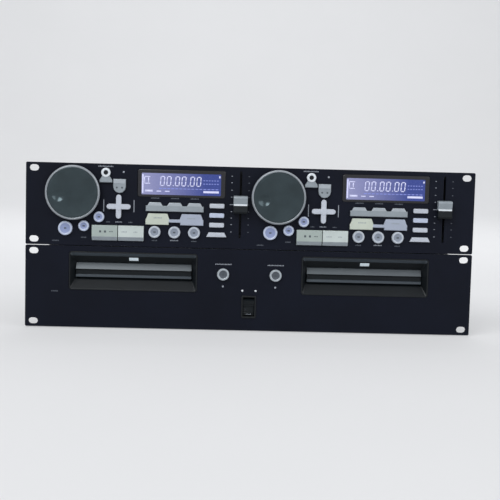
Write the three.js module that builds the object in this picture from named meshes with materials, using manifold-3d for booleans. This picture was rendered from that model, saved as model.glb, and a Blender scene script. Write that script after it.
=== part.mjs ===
// A dual disc player for a 19-inch rack: a 2U controller above a 2U transport with two disc trays.
// Millimetres, +Z up, front towards -Y. The origin is under the middle of the part's box.

import * as THREE from "three";
import { mergeVertices } from "three/addons/utils/BufferGeometryUtils.js";
import Module from "manifold-3d";

const wasm = await Module();
wasm.setup();

// Driving dimensions

const seatGap = 0.3;
const overrun = 1;
const facet = 0.27;

const panel = { width: 482.6, height: 88.1, gap: 0.8, thickness: 3, corner: 1, lift: 1, ear: 21.3 };
const rack = { slotInset: 8.75, slotDown: 5.95, slotLength: 10.3, slotHeight: 6.8 };

// Each deck is laid out on a grid of cells, ten across and four down, from its upper left corner

const grid = { columns: 10, rows: 4 };
const bodyWidth = panel.width - 2 * panel.ear;
const deckWidth = bodyWidth / 2;
const cellWidth = deckWidth / grid.columns;
const cellHeight = panel.height / grid.rows;
const cellRound = Math.min(cellWidth, cellHeight);

function timesUnit(shares, unit) {
  return Object.fromEntries(Object.entries(shares).map(([name, share]) => [name, share * unit]));
}

// Millimetres from shares of a cell: across the deck, down it, and round, which fits either way
const onGrid = ({ across = {}, down = {}, round = {} }) => ({
  ...timesUnit(across, cellWidth), ...timesUnit(down, cellHeight), ...timesUnit(round, cellRound),
});

const keyFlange = { reach: 0.9, thickness: 1.2 };
const keyTravel = 1.2;
const keyEdge = 0.5;

const jogShares = {
  across: { x: 1.332 }, down: { down: 1.426 }, round: { radius: 1.327, dimpleOffset: 0.69 },
};
const jog = {
  ...onGrid(jogShares), height: 9, skirt: 6.4, edge: 1, ring: 2.3, groove: 1, dish: 2.4, flat: 9,
  dimple: 7, dimpleDepth: 1.6, dimpleDrop: 3, shaft: 3, facet: 0.22,
};
const scratchKeyShares = { across: { x: 0.968 }, down: { down: 3.174 }, round: { radius: 0.345 } };
const brakeKeyShares = { across: { x: 1.864 }, down: { down: 3.042 }, round: { radius: 0.259 } };
const reverseKeyShares = { across: { x: 2.595 }, down: { down: 2.588 }, round: { radius: 0.259 } };
const roundKeys = {
  scratch_key: onGrid(scratchKeyShares),
  brake_key: onGrid(brakeKeyShares),
  reverse_key: onGrid(reverseKeyShares),
};
const roundKey = { proud: 3.2, dish: 0.8, rim: 1.3 };
const flashKeyShares = {
  across: { x: 6.273, pitch: 0.964 }, down: { down: 3.264 }, round: { radius: 0.291 },
};
const flashKeys = { ...onGrid(flashKeyShares), count: 3 };

const modeKeyShares = {
  across: { x: 2.909 }, down: { down: 0.427 },
  round: { radius: 0.236, skirtTop: 0.345, skirtFoot: 0.618, skirtDepth: 0.482 },
};
const modeKey = { ...onGrid(modeKeyShares), proud: 3 };
const shieldKeyShares = {
  across: { x: 3.573 }, down: { top: 0.726 }, round: { width: 0.609, height: 0.682 },
};
const shieldKey = { ...onGrid(shieldKeyShares), proud: 2.6 };
const padShares = { across: { x: 3.55 }, down: { down: 2.066 }, round: { span: 1.182, arm: 0.255 } };
const pad = { ...onGrid(padShares), lift: 1.4, proud: 4, hub: 4.2, stem: 3, play: 0.5, flange: 4.6 };

const cueStripShares = {
  across: { x: 6.273, width: 2.818, pitch: 0.964, crown: 0.545, foot: 0.75 },
  down: { top: 1.816, bar: 0.272, hump: 0.163 },
};
const cueStrip = { ...onGrid(cueStripShares), count: 3, proud: 2.6 };
const loopStripShares = {
  across: { x: 6.273, width: 2.818, pitch: 1.636, crown: 0.932, foot: 1.136, link: 0.568 },
  down: { top: 2.361, bar: 0.272, hump: 0.272, notch: 0.118 },
};
const loopStrip = { ...onGrid(loopStripShares), count: 2, proud: 2.6 };
const sideBankShares = {
  across: { x: 8.332, width: 0.727, footWidth: 1, footSlant: 0.118 }, down: { height: 0.222 },
};
const sideBankDownShares = { first: 1.925, second: 2.388, third: 2.86, fourth: 3.333 };
const sideBank = {
  ...onGrid(sideBankShares), downs: timesUnit(sideBankDownShares, cellHeight), proud: 2.4, corner: 0.8,
};
const bigKeyShares = {
  across: { x: 3.523, width: 1.241 }, down: { down: 3.36, height: 0.745, bevel: 0.191 },
};
const bigKeys = { ...onGrid(bigKeyShares), proud: 4, gap: 0.8 };

const faderShares = {
  across: { x: 9.477, capWidth: 0.682 }, down: { down: 1.839, slot: 3.269, capHeight: 0.89 },
};
const fader = {
  ...onGrid(faderShares), stem: 1.8, stemHeight: 5, endStop: 3.5, capLift: 0.8, proud: 9, waist: 1.8,
  crest: 2.4, slope: 1.2, body: 9, bodyDepth: 8, seat: 2,
};
const displayShares = { across: { x: 6.586, width: 4.273 }, down: { down: 0.89, height: 1.335 } };
const display = { ...onGrid(displayShares), corner: 1.6, proud: 0.4, rim: 1.5, depth: 6.4 };

const board = { front: 12.4, thickness: 1.6, sideMargin: 4, margin: 4.05, standoff: 3.5, switchSize: 6 };
const boardPostShares = { top: 0.318, middle: 2.089, foot: 3.678, left: 0.341, right: 9.05 };
const caseShell = { depth: 62, wall: 1.2, inset: 1.6, lip: 3.4, foot: 9, footInset: 26 };
const vent = { width: 3.4, length: 26, pitch: 10, count: 6 };

const tray = {
  offsetShare: 0.26, downShare: 0.304, play: 1.3, length: 160, bottom: -7, top: 0.9, seat: -2,
  seatRadius: 60.4, centre: 77.5, slot: 33, groove: 1.5, grooveBottom: -5.8, grooveTop: -3.8,
  wellRadius: 42, wellDepth: 0.8,
};
const bezel = {
  spread: 6, heightShare: 0.47, corner: 2, rim: 1.2, window: 126, windowHeight: 17, depth: 10.5, wall: 2,
  throat: 2, flange: 2, flangeThickness: 1.6,
};
const door = {
  clearance: 0.4, face: 8.6, ridge: 7, back: 12, bevelBack: 11.6, lipHeight: 3.6, lipEdge: 0.7,
  faceHeight: 4.9, step: 0.8,
};
const gear = {
  module: 2, teeth: 11, thickness: 3, bore: 2.8, centre: 27, backlash: 0.5, pressure: (5 * Math.PI) / 36,
  tipShare: 0.85, rootShare: 1.25,
};
const rackChannel = { inset: 5.2, width: 28, roof: -4, start: 1.6, teeth: 23 };

const eject = { offsetShare: 0.0588, downShare: 0.309, radius: 6.5 };
const rocker = {
  downShare: 0.705, width: 12, radius: 10.2, pivot: 5, frontAngle: 0.62, backAngle: 0.3, valley: 4.8,
  ridges: 4, ridgeDepth: 0.5, frame: 1.7, frameProud: 0.9, frameCorner: 1.2, bodyDepth: 22, pin: 1.4,
  pinReach: 1.2, tilt: Math.PI / 18,
};

const chassis = { depth: 240, wall: 1.2, inset: 1.6, flange: 10, foot: 10, footInset: 30 };
const drive = {
  wall: 3, play: 0.6, front: 20, length: 165, deck: 2.2, gap: 0.6, bridge: 30, bridgeBottom: 9,
  bridgeThickness: 2.4, leg: 4.5, legInset: 12, rearLeg: 45, ribPlay: 0.25, window: 24, bearing: 6,
};
const spindle = {
  radius: 14.5, platter: 3, lift: 0.6, shaft: 1.5, neck: 4, hub: 7.2, hubTop: 0.6, motor: 11, motorDepth: 9,
};
const sled = {
  inner: 23.5, travel: 35, width: 40, length: 20, height: 6, drop: 3, head: 18, headLength: 15,
  headTop: -3.6, lens: 3.4, lensRise: 0.5, rod: 1.5, rodOffset: 15.5, hanger: 6,
  hangerThickness: 2.4,
};
const mainBoard = {
  inset: 20, rightShare: 0.091, depth: 51.8, rise: 9, thickness: 1.6, post: 3.5, postInset: 8,
};
const supply = {
  leftShare: 0.141, inset: 24, transformer: 46, transformerLength: 40, transformerHeight: 34,
};
const jack = {
  barrel: 4.2, bore: 1.7, boreDepth: 8, reach: 9, block: 14, blockHeight: 12, blockDepth: 12, pitch: 18,
  inset: 14, count: 6,
};
const link = {
  step: 36, pitch: 24, width: 14, height: 14, corner: 1, radius: 4.6, recess: 7, depth: 12, proud: 1,
};
const inlet = {
  inset: 30, rise: 16, width: 31, height: 24, corner: 3, wall: 2, depth: 17, proud: 1.5, pin: 2,
  pinLong: 4.5, pinReach: 14, pinSpread: 7, pinDrop: 3, block: 8,
};

// Heights and depths that follow

const transportTop = panel.lift + panel.height;
const controllerBottom = transportTop + panel.gap;
const controllerTop = controllerBottom + panel.height;
const keyBack = panel.thickness + seatGap + keyFlange.thickness;
const rearWall = panel.thickness + seatGap + chassis.depth;
const frontReach = jog.height;
const trayOffset = tray.offsetShare * panel.width;
const trayWidth = bezel.window - 2 * tray.play;
const trayLevel = transportTop - tray.downShare * panel.height;
const bezelWidth = bezel.window + 2 * bezel.spread;
const bezelHeight = bezel.heightShare * panel.height;
const ejectOffset = eject.offsetShare * panel.width;
const ejectDown = eject.downShare * panel.height;
const rockerDown = rocker.downShare * panel.height;
const channelWall = trayWidth / 2 - rackChannel.inset;
const gearRadius = (gear.module * gear.teeth) / 2;

// Finishes

function finish(color, roughness, metalness) {
  return new THREE.MeshStandardMaterial({ color, roughness, metalness });
}

const paint = finish(0x191c24, 0.45, 0.3);
const steel = finish(0x2a2d33, 0.5, 0.6);
const zinc = finish(0xa9adb2, 0.4, 0.8);
const blackPlastic = finish(0x14161a, 0.5, 0);
const greyPlastic = finish(0x9ba0a4, 0.4, 0.1);
const jogPlastic = finish(0x22282c, 0.35, 0.1);
const violetPlastic = finish(0xaeb4dc, 0.4, 0);
const whitePlastic = finish(0xdfe2e2, 0.4, 0);
const greenishPlastic = finish(0xc9d2c4, 0.4, 0);
const blueWindow = finish(0x2c3a9a, 0.15, 0);
const circuitGreen = finish(0x1d5a38, 0.6, 0);
const silver = finish(0xc3c7ca, 0.3, 0.7);
const nylon = finish(0xe6e3d8, 0.6, 0);

// Solids: closed geometry is joined and cut here

function toSolid(geometry) {
  const bare = geometry.clone();
  bare.deleteAttribute("normal");
  bare.deleteAttribute("uv");
  const merged = mergeVertices(bare);
  const corners = [];
  const index = merged.index.array;
  for (let i = 0; i < index.length; i += 3) {
    const [a, b, c] = index.subarray(i, i + 3);
    if (a !== b && b !== c && c !== a) corners.push(a, b, c);
  }
  const mesh = new wasm.Mesh({
    numProp: 3,
    vertProperties: new Float32Array(merged.attributes.position.array),
    triVerts: new Uint32Array(corners),
  });
  return new wasm.Manifold(mesh);
}

const join = (...geometries) => geometries.map(toSolid).reduce((whole, next) => whole.add(next));
const cut = (solid, ...geometries) =>
  geometries.map(toSolid).reduce((rest, next) => rest.subtract(next), solid);

function toGeometry(solid) {
  const mesh = solid.getMesh();
  const geometry = new THREE.BufferGeometry();
  geometry.setAttribute("position", new THREE.BufferAttribute(mesh.vertProperties, mesh.numProp));
  geometry.setIndex(new THREE.BufferAttribute(mesh.triVerts, 1));
  geometry.computeVertexNormals();
  return geometry;
}

const part = new THREE.Group();

function add(name, solid, material, place = [0, 0, 0]) {
  const mesh = new THREE.Mesh(toGeometry(solid), material);
  mesh.name = name;
  mesh.position.set(...place);
  part.add(mesh);
}

// Outlines: points in X and Z, counterclockwise as seen from the front

// As many sides to a quarter turn as keep a flat side within the facet depth of its circle
function quarterSides(radius, depth = facet) {
  return Math.max(1, Math.round(Math.PI / Math.acos(1 - depth / radius) / 4));
}

const sidesFor = (radius, depth = facet) => 4 * Math.max(2, quarterSides(radius, depth));

function arcPoints(radius, start, end, x = 0, z = 0, quarter = quarterSides(radius)) {
  const steps = Math.max(1, Math.round((2 * quarter * (end - start)) / Math.PI));
  const points = [];
  for (let i = 0; i <= steps; i += 1) {
    const angle = start + ((end - start) * i) / steps;
    points.push(new THREE.Vector2(x + radius * Math.cos(angle), z + radius * Math.sin(angle)));
  }
  return points;
}

const circle = (radius, x = 0, z = 0) => arcPoints(radius, 0, 2 * Math.PI, x, z).slice(1);

function roundedRect(width, height, radius, x = 0, z = 0, quarter = quarterSides(radius)) {
  const right = width / 2 - radius;
  const top = height / 2 - radius;
  const corners = [[right, top], [-right, top], [-right, -top], [right, -top]];
  return corners.flatMap(([cx, cz], i) =>
    arcPoints(radius, (i * Math.PI) / 2, ((i + 1) * Math.PI) / 2, x + cx, z + cz, quarter));
}

const outlineFrom = (points) => points.map(([x, z]) => new THREE.Vector2(x, z));
const shifted = (outline, x, z) => outline.map((point) => new THREE.Vector2(point.x + x, point.y + z));

// Moves every edge of an outline outwards by a distance, keeping its corners mitred
function grow(outline, distance) {
  return outline.map((point, i) => {
    const before = outline[(i + outline.length - 1) % outline.length];
    const after = outline[(i + 1) % outline.length];
    const first = point.clone().sub(before).normalize();
    const second = after.clone().sub(point).normalize();
    const normal = new THREE.Vector2(first.y + second.y, -first.x - second.x);
    return point.clone().addScaledVector(normal, distance / (1 + first.dot(second)));
  });
}

// Joins rings that stand at different depths into one closed shell; rings run from back to front
function loft(rings) {
  const count = rings[0].outline.length;
  const positions = rings.flatMap(({ outline, y }) => outline.flatMap((point) => [point.x, y, point.y]));
  const index = [];
  for (let ring = 0; ring + 1 < rings.length; ring += 1) {
    for (let i = 0; i < count; i += 1) {
      const a = ring * count + i;
      const b = ring * count + ((i + 1) % count);
      index.push(a, b, b + count, a, b + count, a + count);
    }
  }
  const last = (rings.length - 1) * count;
  for (const [a, b, c] of THREE.ShapeUtils.triangulateShape(rings[0].outline, [])) index.push(c, b, a);
  for (const [a, b, c] of THREE.ShapeUtils.triangulateShape(rings.at(-1).outline, [])) {
    index.push(last + a, last + b, last + c);
  }
  const geometry = new THREE.BufferGeometry();
  geometry.setAttribute("position", new THREE.Float32BufferAttribute(positions, 3));
  geometry.setIndex(index);
  return geometry;
}

const prism = (outline, back, front) => loft([{ outline, y: back }, { outline, y: front }]);

// A flat plate with holes, standing between two depths
function plate(outline, holes, back, front) {
  const shape = new THREE.Shape(outline);
  shape.holes = holes.map((hole) => new THREE.Path(hole));
  const geometry = new THREE.ExtrudeGeometry(shape, { depth: back - front, bevelEnabled: false });
  return geometry.rotateX(Math.PI / 2).translate(0, back, 0);
}

// A flat shape in X and Y, raised from one height to another
function slab(outline, low, high) {
  const shape = new THREE.Shape(outline);
  const geometry = new THREE.ExtrudeGeometry(shape, { depth: high - low, bevelEnabled: false });
  return geometry.translate(0, 0, low);
}

// A profile in Y and Z, drawn across from one side to the other
function across(profile, left, right) {
  const shape = new THREE.Shape(outlineFrom(profile));
  const geometry = new THREE.ExtrudeGeometry(shape, { depth: right - left, bevelEnabled: false });
  return geometry.rotateX(Math.PI / 2).rotateZ(Math.PI / 2).translate(left, 0, 0);
}

function block([left, right], [front, back], [low, high]) {
  const geometry = new THREE.BoxGeometry(right - left, back - front, high - low);
  return geometry.translate((left + right) / 2, (front + back) / 2, (low + high) / 2);
}

// A round piece about an axis along Y or Z; the profile holds radius and place, from low to high
function turnedY(profile, depth = facet) {
  const reach = Math.max(...profile.map(([radius]) => radius));
  return new THREE.LatheGeometry(outlineFrom(profile), sidesFor(reach, depth));
}

const turnedZ = (profile) => turnedY(profile).rotateX(Math.PI / 2);
const rodY = (radius, front, back) => turnedY([[0, front], [radius, front], [radius, back], [0, back]]);
const rodZ = (radius, low, high) => turnedZ([[0, low], [radius, low], [radius, high], [0, high]]);

const fromLeft = (x) => x - panel.width / 2;
const onController = (x, down) => [fromLeft(x), 0, controllerTop - down];
const onTransport = (offset, down) => [offset, 0, transportTop - down];
const rowPlaces = (count, pitch) => Array.from({ length: count }, (_, i) => (i - (count - 1) / 2) * pitch);

// Controller keys: each stands through the panel and is kept in by a flange behind it

function capKey(outline, proud, flange = grow(outline, keyFlange.reach)) {
  const cap = loft([
    { outline, y: keyBack },
    { outline, y: keyEdge - proud },
    { outline: grow(outline, -keyEdge), y: -proud },
  ]);
  return join(cap, prism(flange, keyBack, panel.thickness + seatGap));
}

function dishedKey(radius) {
  const flange = radius + keyFlange.reach;
  const front = -roundKey.proud;
  return join(turnedY([
    [0, front + roundKey.dish], [radius - roundKey.rim, front], [radius - keyEdge, front],
    [radius, front + keyEdge], [radius, panel.thickness + seatGap], [flange, panel.thickness + seatGap],
    [flange, keyBack], [0, keyBack],
  ]));
}

// A round head on a bell-shaped skirt
function modeKeyOutline() {
  const neck = Math.acos(modeKey.skirtTop / 2 / modeKey.radius);
  const foot = modeKey.skirtFoot / 2;
  const shoulder = (modeKey.skirtDepth - modeKey.radius) / 2;
  return [
    ...outlineFrom([
      [-foot, -modeKey.skirtDepth], [foot, -modeKey.skirtDepth], [foot, shoulder - modeKey.skirtDepth],
    ]),
    ...arcPoints(modeKey.radius, -neck, Math.PI + neck),
    ...outlineFrom([[-foot, shoulder - modeKey.skirtDepth]]),
  ];
}

// A straight band above a half-round foot
function shieldKeyOutline() {
  const half = shieldKey.width / 2;
  return [
    ...outlineFrom([[half, 0], [-half, 0]]),
    ...arcPoints(half, Math.PI, 2 * Math.PI, 0, half - shieldKey.height),
  ];
}

function crossOutline() {
  const half = pad.arm / 2;
  const tip = arcPoints(half, -Math.PI / 2, Math.PI / 2, pad.span / 2 - half);
  const arm = [new THREE.Vector2(half, -half), ...tip];
  return [0, 1, 2, 3].flatMap((turn) =>
    arm.map((point) => point.clone().rotateAround(new THREE.Vector2(), (turn * Math.PI) / 2)));
}

// A bar with trapezoid humps along its top; a strip with a link has a notch below its middle
function stripOutline(strip) {
  const foot = -strip.hump - strip.bar;
  const half = strip.width / 2;
  const humps = rowPlaces(strip.count, strip.pitch).reverse().flatMap((x) => [
    [x + strip.foot / 2, -strip.hump], [x + strip.crown / 2, 0],
    [x - strip.crown / 2, 0], [x - strip.foot / 2, -strip.hump],
  ]);
  const notch = strip.link
    ? [[-strip.link / 2, foot], [-strip.link / 2, foot + strip.notch],
      [strip.link / 2, foot + strip.notch], [strip.link / 2, foot]]
    : [];
  return outlineFrom([
    [-half, foot], ...notch, [half, foot], [half, -strip.hump], ...humps, [-half, -strip.hump],
  ]);
}

function keyStrip(strip) {
  const width = strip.width + 2 * keyFlange.reach;
  const height = strip.bar - (strip.notch ?? 0);
  const ends = shifted(roundedRect(width, height, keyEdge), 0, -strip.hump - height / 2);
  return capKey(stripOutline(strip), strip.proud, ends);
}

// Four caps on one carrier behind the panel, the lowest cap wider with slanted ends
function sideCaps() {
  const { first, fourth } = sideBank.downs;
  const half = sideBank.height / 2;
  return Object.values(sideBank.downs).map((down) => {
    const cap = down === fourth
      ? outlineFrom([
        [-sideBank.footWidth / 2, -half], [sideBank.footWidth / 2, -half],
        [sideBank.footWidth / 2 - sideBank.footSlant, half],
        [sideBank.footSlant - sideBank.footWidth / 2, half],
      ])
      : roundedRect(sideBank.width, sideBank.height, sideBank.corner);
    return shifted(cap, 0, first - down);
  });
}

function sideBankSolid() {
  const { first, fourth } = sideBank.downs;
  const length = fourth - first + sideBank.height;
  const carrier = roundedRect(sideBank.width, length, sideBank.corner, 0, (first - fourth) / 2);
  return sideCaps().map((cap) => capKey(cap, sideBank.proud, carrier)).reduce((bank, cap) => bank.add(cap));
}

function bigKeySolid() {
  const half = bigKeys.height / 2;
  const cap = across([
    [keyBack, -half], [keyBack, half], [keyEdge - bigKeys.proud, half], [-bigKeys.proud, half - keyEdge],
    [-bigKeys.proud, bigKeys.bevel - half], [-bigKeys.proud / 2, -half],
  ], -bigKeys.width / 2, bigKeys.width / 2);
  const reach = half + keyFlange.reach;
  const inner = bigKeys.width / 2 - keyFlange.reach;
  return join(cap, block([-inner, inner], [panel.thickness + seatGap, keyBack], [-reach, reach]));
}

function padSolid() {
  const outline = crossOutline();
  const back = panel.thickness + pad.play;
  const cross = loft([
    { outline, y: -pad.lift },
    { outline, y: keyEdge - pad.proud },
    { outline: grow(outline, -keyEdge), y: -pad.proud },
  ]);
  const hub = turnedY([
    [0, -pad.proud - keyEdge], [pad.hub - keyEdge, -pad.proud - keyEdge], [pad.hub, -pad.proud],
    [pad.hub, -pad.lift], [pad.stem, -pad.lift], [pad.stem, back], [pad.flange, back],
    [pad.flange, back + keyFlange.thickness], [0, back + keyFlange.thickness],
  ]);
  return join(cross, hub);
}

// The wheel: a raised rim round a shallow dish, a finger dimple to the left, and its shaft
function jogSolid() {
  const { radius, height, edge, ring, groove, dish } = jog;
  const rim = radius - ring;
  const front = -height;
  const wheel = turnedY([
    [0, front + dish], [jog.flat, front + dish], [rim - 2 * groove, front + groove],
    [rim - groove, front + groove], [rim, front], [radius - edge, front], [radius, front + edge],
    [radius, front + jog.skirt], [radius - edge, -seatGap - keyEdge], [jog.shaft, -seatGap - keyEdge],
    [jog.shaft, board.front], [0, board.front],
  ], jog.facet);
  const surface = front + dish - jog.dimpleDepth / 2;
  const bowl = (jog.dimple ** 2 + jog.dimpleDepth ** 2) / (2 * jog.dimpleDepth);
  const dimple = new THREE.SphereGeometry(bowl, sidesFor(jog.dimple), sidesFor(bowl))
    .translate(-jog.dimpleOffset, surface + jog.dimpleDepth - bowl, -jog.dimpleDrop);
  return cut(join(wheel), dimple);
}

function faderSolid() {
  const half = fader.capHeight / 2;
  const front = -fader.proud;
  const upper = [
    [-fader.capLift, half], [fader.slope + front, half - fader.slope / 2], [front, half - fader.crest],
    [front + fader.waist, fader.crest / 2],
  ];
  const lower = upper.map(([y, z]) => [y, -z]).reverse();
  const cap = across([...upper, ...lower], -fader.capWidth / 2, fader.capWidth / 2);
  const stem = block([-fader.stem / 2, fader.stem / 2], [-fader.capLift - keyEdge, board.front - fader.seat],
    [-fader.stemHeight / 2, fader.stemHeight / 2]);
  return join(cap, stem);
}

function displaySolid() {
  const lens = roundedRect(display.width, display.height, display.corner);
  const back = panel.thickness + seatGap + display.depth;
  const front = loft([
    { outline: lens, y: back },
    { outline: lens, y: 0 },
    { outline: grow(lens, -display.proud), y: -display.proud },
  ]);
  return join(front, prism(grow(lens, display.rim), back, panel.thickness + seatGap));
}

// Everything that one deck of the controller holds: what fills it, and the hole it passes through

const bigKeyOffset = (bigKeys.width + bigKeys.gap) / 2;
const slotHole = roundedRect(fader.stem + 2 * seatGap, fader.slot, fader.stem / 2);
const bigKeyHole = roundedRect(2 * bigKeyOffset + bigKeys.width, bigKeys.height, seatGap);

const deckHoles = [
  { outline: circle(jog.shaft), x: jog.x, down: jog.down },
  ...Object.values(roundKeys).map(({ x, down, radius }) => ({ outline: circle(radius), x, down })),
  ...rowPlaces(flashKeys.count, flashKeys.pitch).map((x) =>
    ({ outline: circle(flashKeys.radius), x: flashKeys.x + x, down: flashKeys.down })),
  { outline: modeKeyOutline(), x: modeKey.x, down: modeKey.down },
  { outline: shieldKeyOutline(), x: shieldKey.x, down: shieldKey.top },
  { outline: circle(pad.stem + pad.play - seatGap), x: pad.x, down: pad.down },
  { outline: stripOutline(cueStrip), x: cueStrip.x, down: cueStrip.top },
  { outline: stripOutline(loopStrip), x: loopStrip.x, down: loopStrip.top },
  ...sideCaps().map((outline) => ({ outline, x: sideBank.x, down: sideBank.downs.first })),
  { outline: bigKeyHole, x: bigKeys.x, down: bigKeys.down },
  { outline: grow(slotHole, -seatGap), x: fader.x, down: fader.down },
  { outline: roundedRect(display.width, display.height, display.corner), x: display.x, down: display.down },
];

const deckStarts = { left: panel.ear, right: panel.ear + deckWidth };

function addDeck(side, start) {
  const place = (x, down) => onController(start + x, down);
  add(`jog_wheel_${side}`, jogSolid(), jogPlastic, place(jog.x, jog.down));
  add(`pitch_fader_${side}`, faderSolid(), silver, place(fader.x, fader.down));
  for (const [name, key] of Object.entries(roundKeys)) {
    add(`${name}_${side}`, dishedKey(key.radius), violetPlastic, place(key.x, key.down));
  }
  rowPlaces(flashKeys.count, flashKeys.pitch).forEach((x, i) => {
    const spot = place(flashKeys.x + x, flashKeys.down);
    add(`flash_key_${i + 1}_${side}`, dishedKey(flashKeys.radius), violetPlastic, spot);
  });
  const headFlange = grow(circle(modeKey.radius), keyFlange.reach);
  add(`mode_key_${side}`, capKey(modeKeyOutline(), modeKey.proud, headFlange), greyPlastic,
    place(modeKey.x, modeKey.down));
  const endFlange = roundedRect(shieldKey.width - 2 * keyFlange.reach,
    shieldKey.height + 2 * keyFlange.reach, keyEdge, 0, -shieldKey.height / 2);
  add(`shift_key_${side}`, capKey(shieldKeyOutline(), shieldKey.proud, endFlange), greyPlastic,
    place(shieldKey.x, shieldKey.top));
  add(`search_pad_${side}`, padSolid(), whitePlastic, place(pad.x, pad.down));
  add(`cue_point_strip_${side}`, keyStrip(cueStrip), greyPlastic, place(cueStrip.x, cueStrip.top));
  add(`loop_strip_${side}`, keyStrip(loopStrip), greenishPlastic, place(loopStrip.x, loopStrip.top));
  add(`side_key_bank_${side}`, sideBankSolid(), whitePlastic, place(sideBank.x, sideBank.downs.first));
  add(`cue_key_${side}`, bigKeySolid(), greenishPlastic, place(bigKeys.x - bigKeyOffset, bigKeys.down));
  add(`play_key_${side}`, bigKeySolid(), whitePlastic, place(bigKeys.x + bigKeyOffset, bigKeys.down));
  add(`display_${side}`, displaySolid(), blueWindow, place(display.x, display.down));
}

// Panels: 2U plates with four oblong slots for the rack screws

function rackPanel(top, holes) {
  const middle = top - panel.height / 2;
  const slot = roundedRect(rack.slotLength, rack.slotHeight, rack.slotHeight / 2 - seatGap / 2);
  const slotX = panel.width / 2 - rack.slotInset;
  const slotZ = panel.height / 2 - rack.slotDown;
  const slots = [-1, 1].flatMap((x) => [-1, 1].map((z) => shifted(slot, x * slotX, middle + z * slotZ)));
  const outline = roundedRect(panel.width, panel.height, panel.corner, 0, middle);
  return join(plate(outline, [...slots, ...holes], panel.thickness, 0));
}

function controllerPanel() {
  const holes = Object.values(deckStarts).flatMap((start) => deckHoles.map(({ outline, x, down }) =>
    shifted(grow(outline, seatGap), fromLeft(start + x), controllerTop - down)));
  return rackPanel(controllerTop, holes);
}

// The controller's circuit board, with switches, shaft encoders, fader bodies and posts

const postColumns = timesUnit(boardPostShares, cellWidth);
const postRows = timesUnit(boardPostShares, cellHeight);
const boardPosts = [
  { x: postColumns.left, down: postRows.top }, { x: postColumns.left, down: postRows.foot },
  { x: postColumns.right, down: postRows.middle }, { x: postColumns.right, down: postRows.foot },
];
const stripSwitches = (strip) => rowPlaces(strip.count, strip.pitch).map((x) =>
  ({ x: strip.x + x, down: strip.top + strip.hump + strip.bar / 2 }));
const switchPlaces = [
  ...Object.values(roundKeys),
  ...rowPlaces(flashKeys.count, flashKeys.pitch).map((x) => ({ x: flashKeys.x + x, down: flashKeys.down })),
  { x: modeKey.x, down: modeKey.down },
  { x: shieldKey.x, down: shieldKey.top + shieldKey.height / 2 },
  ...stripSwitches(cueStrip),
  ...stripSwitches(loopStrip),
  ...Object.values(sideBank.downs).map((down) => ({ x: sideBank.x, down })),
  { x: bigKeys.x - bigKeyOffset, down: bigKeys.down },
  { x: bigKeys.x + bigKeyOffset, down: bigKeys.down },
];

function controllerBoard() {
  const middle = controllerTop - panel.height / 2;
  const tip = keyBack + keyTravel + seatGap;
  const back = board.front + board.thickness;
  const halfWidth = bodyWidth / 2 - board.sideMargin;
  const halfHeight = panel.height / 2 - board.margin;
  let whole = join(block([-halfWidth, halfWidth], [board.front, back],
    [middle - halfHeight, middle + halfHeight]));
  for (const start of Object.values(deckStarts)) {
    for (const { x, down } of boardPosts) {
      const [px, , pz] = onController(start + x, down);
      const post = rodY(board.standoff, panel.thickness + seatGap, board.front);
      whole = whole.add(toSolid(post.translate(px, 0, pz)));
    }
    for (const { x, down } of switchPlaces) {
      const [px, , pz] = onController(start + x, down);
      const half = board.switchSize / 2;
      whole = whole.add(toSolid(block([px - half, px + half], [tip, board.front], [pz - half, pz + half])));
    }
    const [fx, , fz] = onController(start + fader.x, fader.down);
    const body = block([fx - fader.body / 2, fx + fader.body / 2],
      [board.front - fader.bodyDepth, board.front],
      [fz - fader.slot / 2, fz + fader.slot / 2]);
    const reach = fader.slot / 2 - fader.endStop + seatGap;
    const channel = fader.stem / 2 + seatGap;
    whole = cut(whole.add(toSolid(body)), block([fx - channel, fx + channel],
      [board.front - fader.bodyDepth - overrun, board.front - seatGap], [fz - reach, fz + reach]));
    const [jx, , jz] = onController(start + jog.x, jog.down);
    whole = cut(whole, rodY(jog.shaft + seatGap, board.front - overrun, back + overrun)
      .translate(jx, 0, jz));
  }
  return whole;
}

function controllerCase() {
  const front = panel.thickness + seatGap;
  const back = front + caseShell.depth;
  const { wall } = caseShell;
  const half = bodyWidth / 2;
  const low = controllerBottom + caseShell.inset;
  const high = controllerTop - caseShell.inset;
  let shell = cut(join(block([-half, half], [front, back], [low, high])),
    block([wall - half, half - wall], [front - overrun, back - wall], [low + wall, high - wall]));
  for (const side of [-1, 1]) {
    const lip = [side * half, side * (half - caseShell.lip)].sort((a, b) => a - b);
    shell = shell.add(toSolid(block(lip, [front, front + wall], [low + seatGap, high - seatGap])));
    for (const x of rowPlaces(vent.count, vent.pitch)) {
      const middle = (side * half) / 2 + x;
      shell = cut(shell, block([middle - vent.width / 2, middle + vent.width / 2],
        [back - vent.length - vent.pitch, back - vent.pitch], [high - wall - overrun, high + overrun]));
    }
    for (const y of [front + caseShell.foot + wall, back - caseShell.foot - wall]) {
      const foot = turnedZ([[0, transportTop - chassis.inset + seatGap],
        [caseShell.foot - wall, transportTop - chassis.inset + seatGap], [caseShell.foot, low + seatGap],
        [0, low + seatGap]]);
      shell = shell.add(toSolid(foot.translate(side * (half - caseShell.footInset), y, 0)));
    }
    const middle = (low + high) / 2;
    const housing = prism(roundedRect(link.width, link.height, link.corner, side * link.pitch, middle),
      back + link.proud, back - link.depth);
    const mouth = prism(circle(link.radius, side * link.pitch, middle), back + link.proud + overrun,
      back + link.proud - link.recess);
    shell = cut(shell.add(toSolid(housing)), mouth);
  }
  return shell;
}

// Transport: the tray surrounds are thin funnels that the panel holds by a flange behind it

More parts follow.
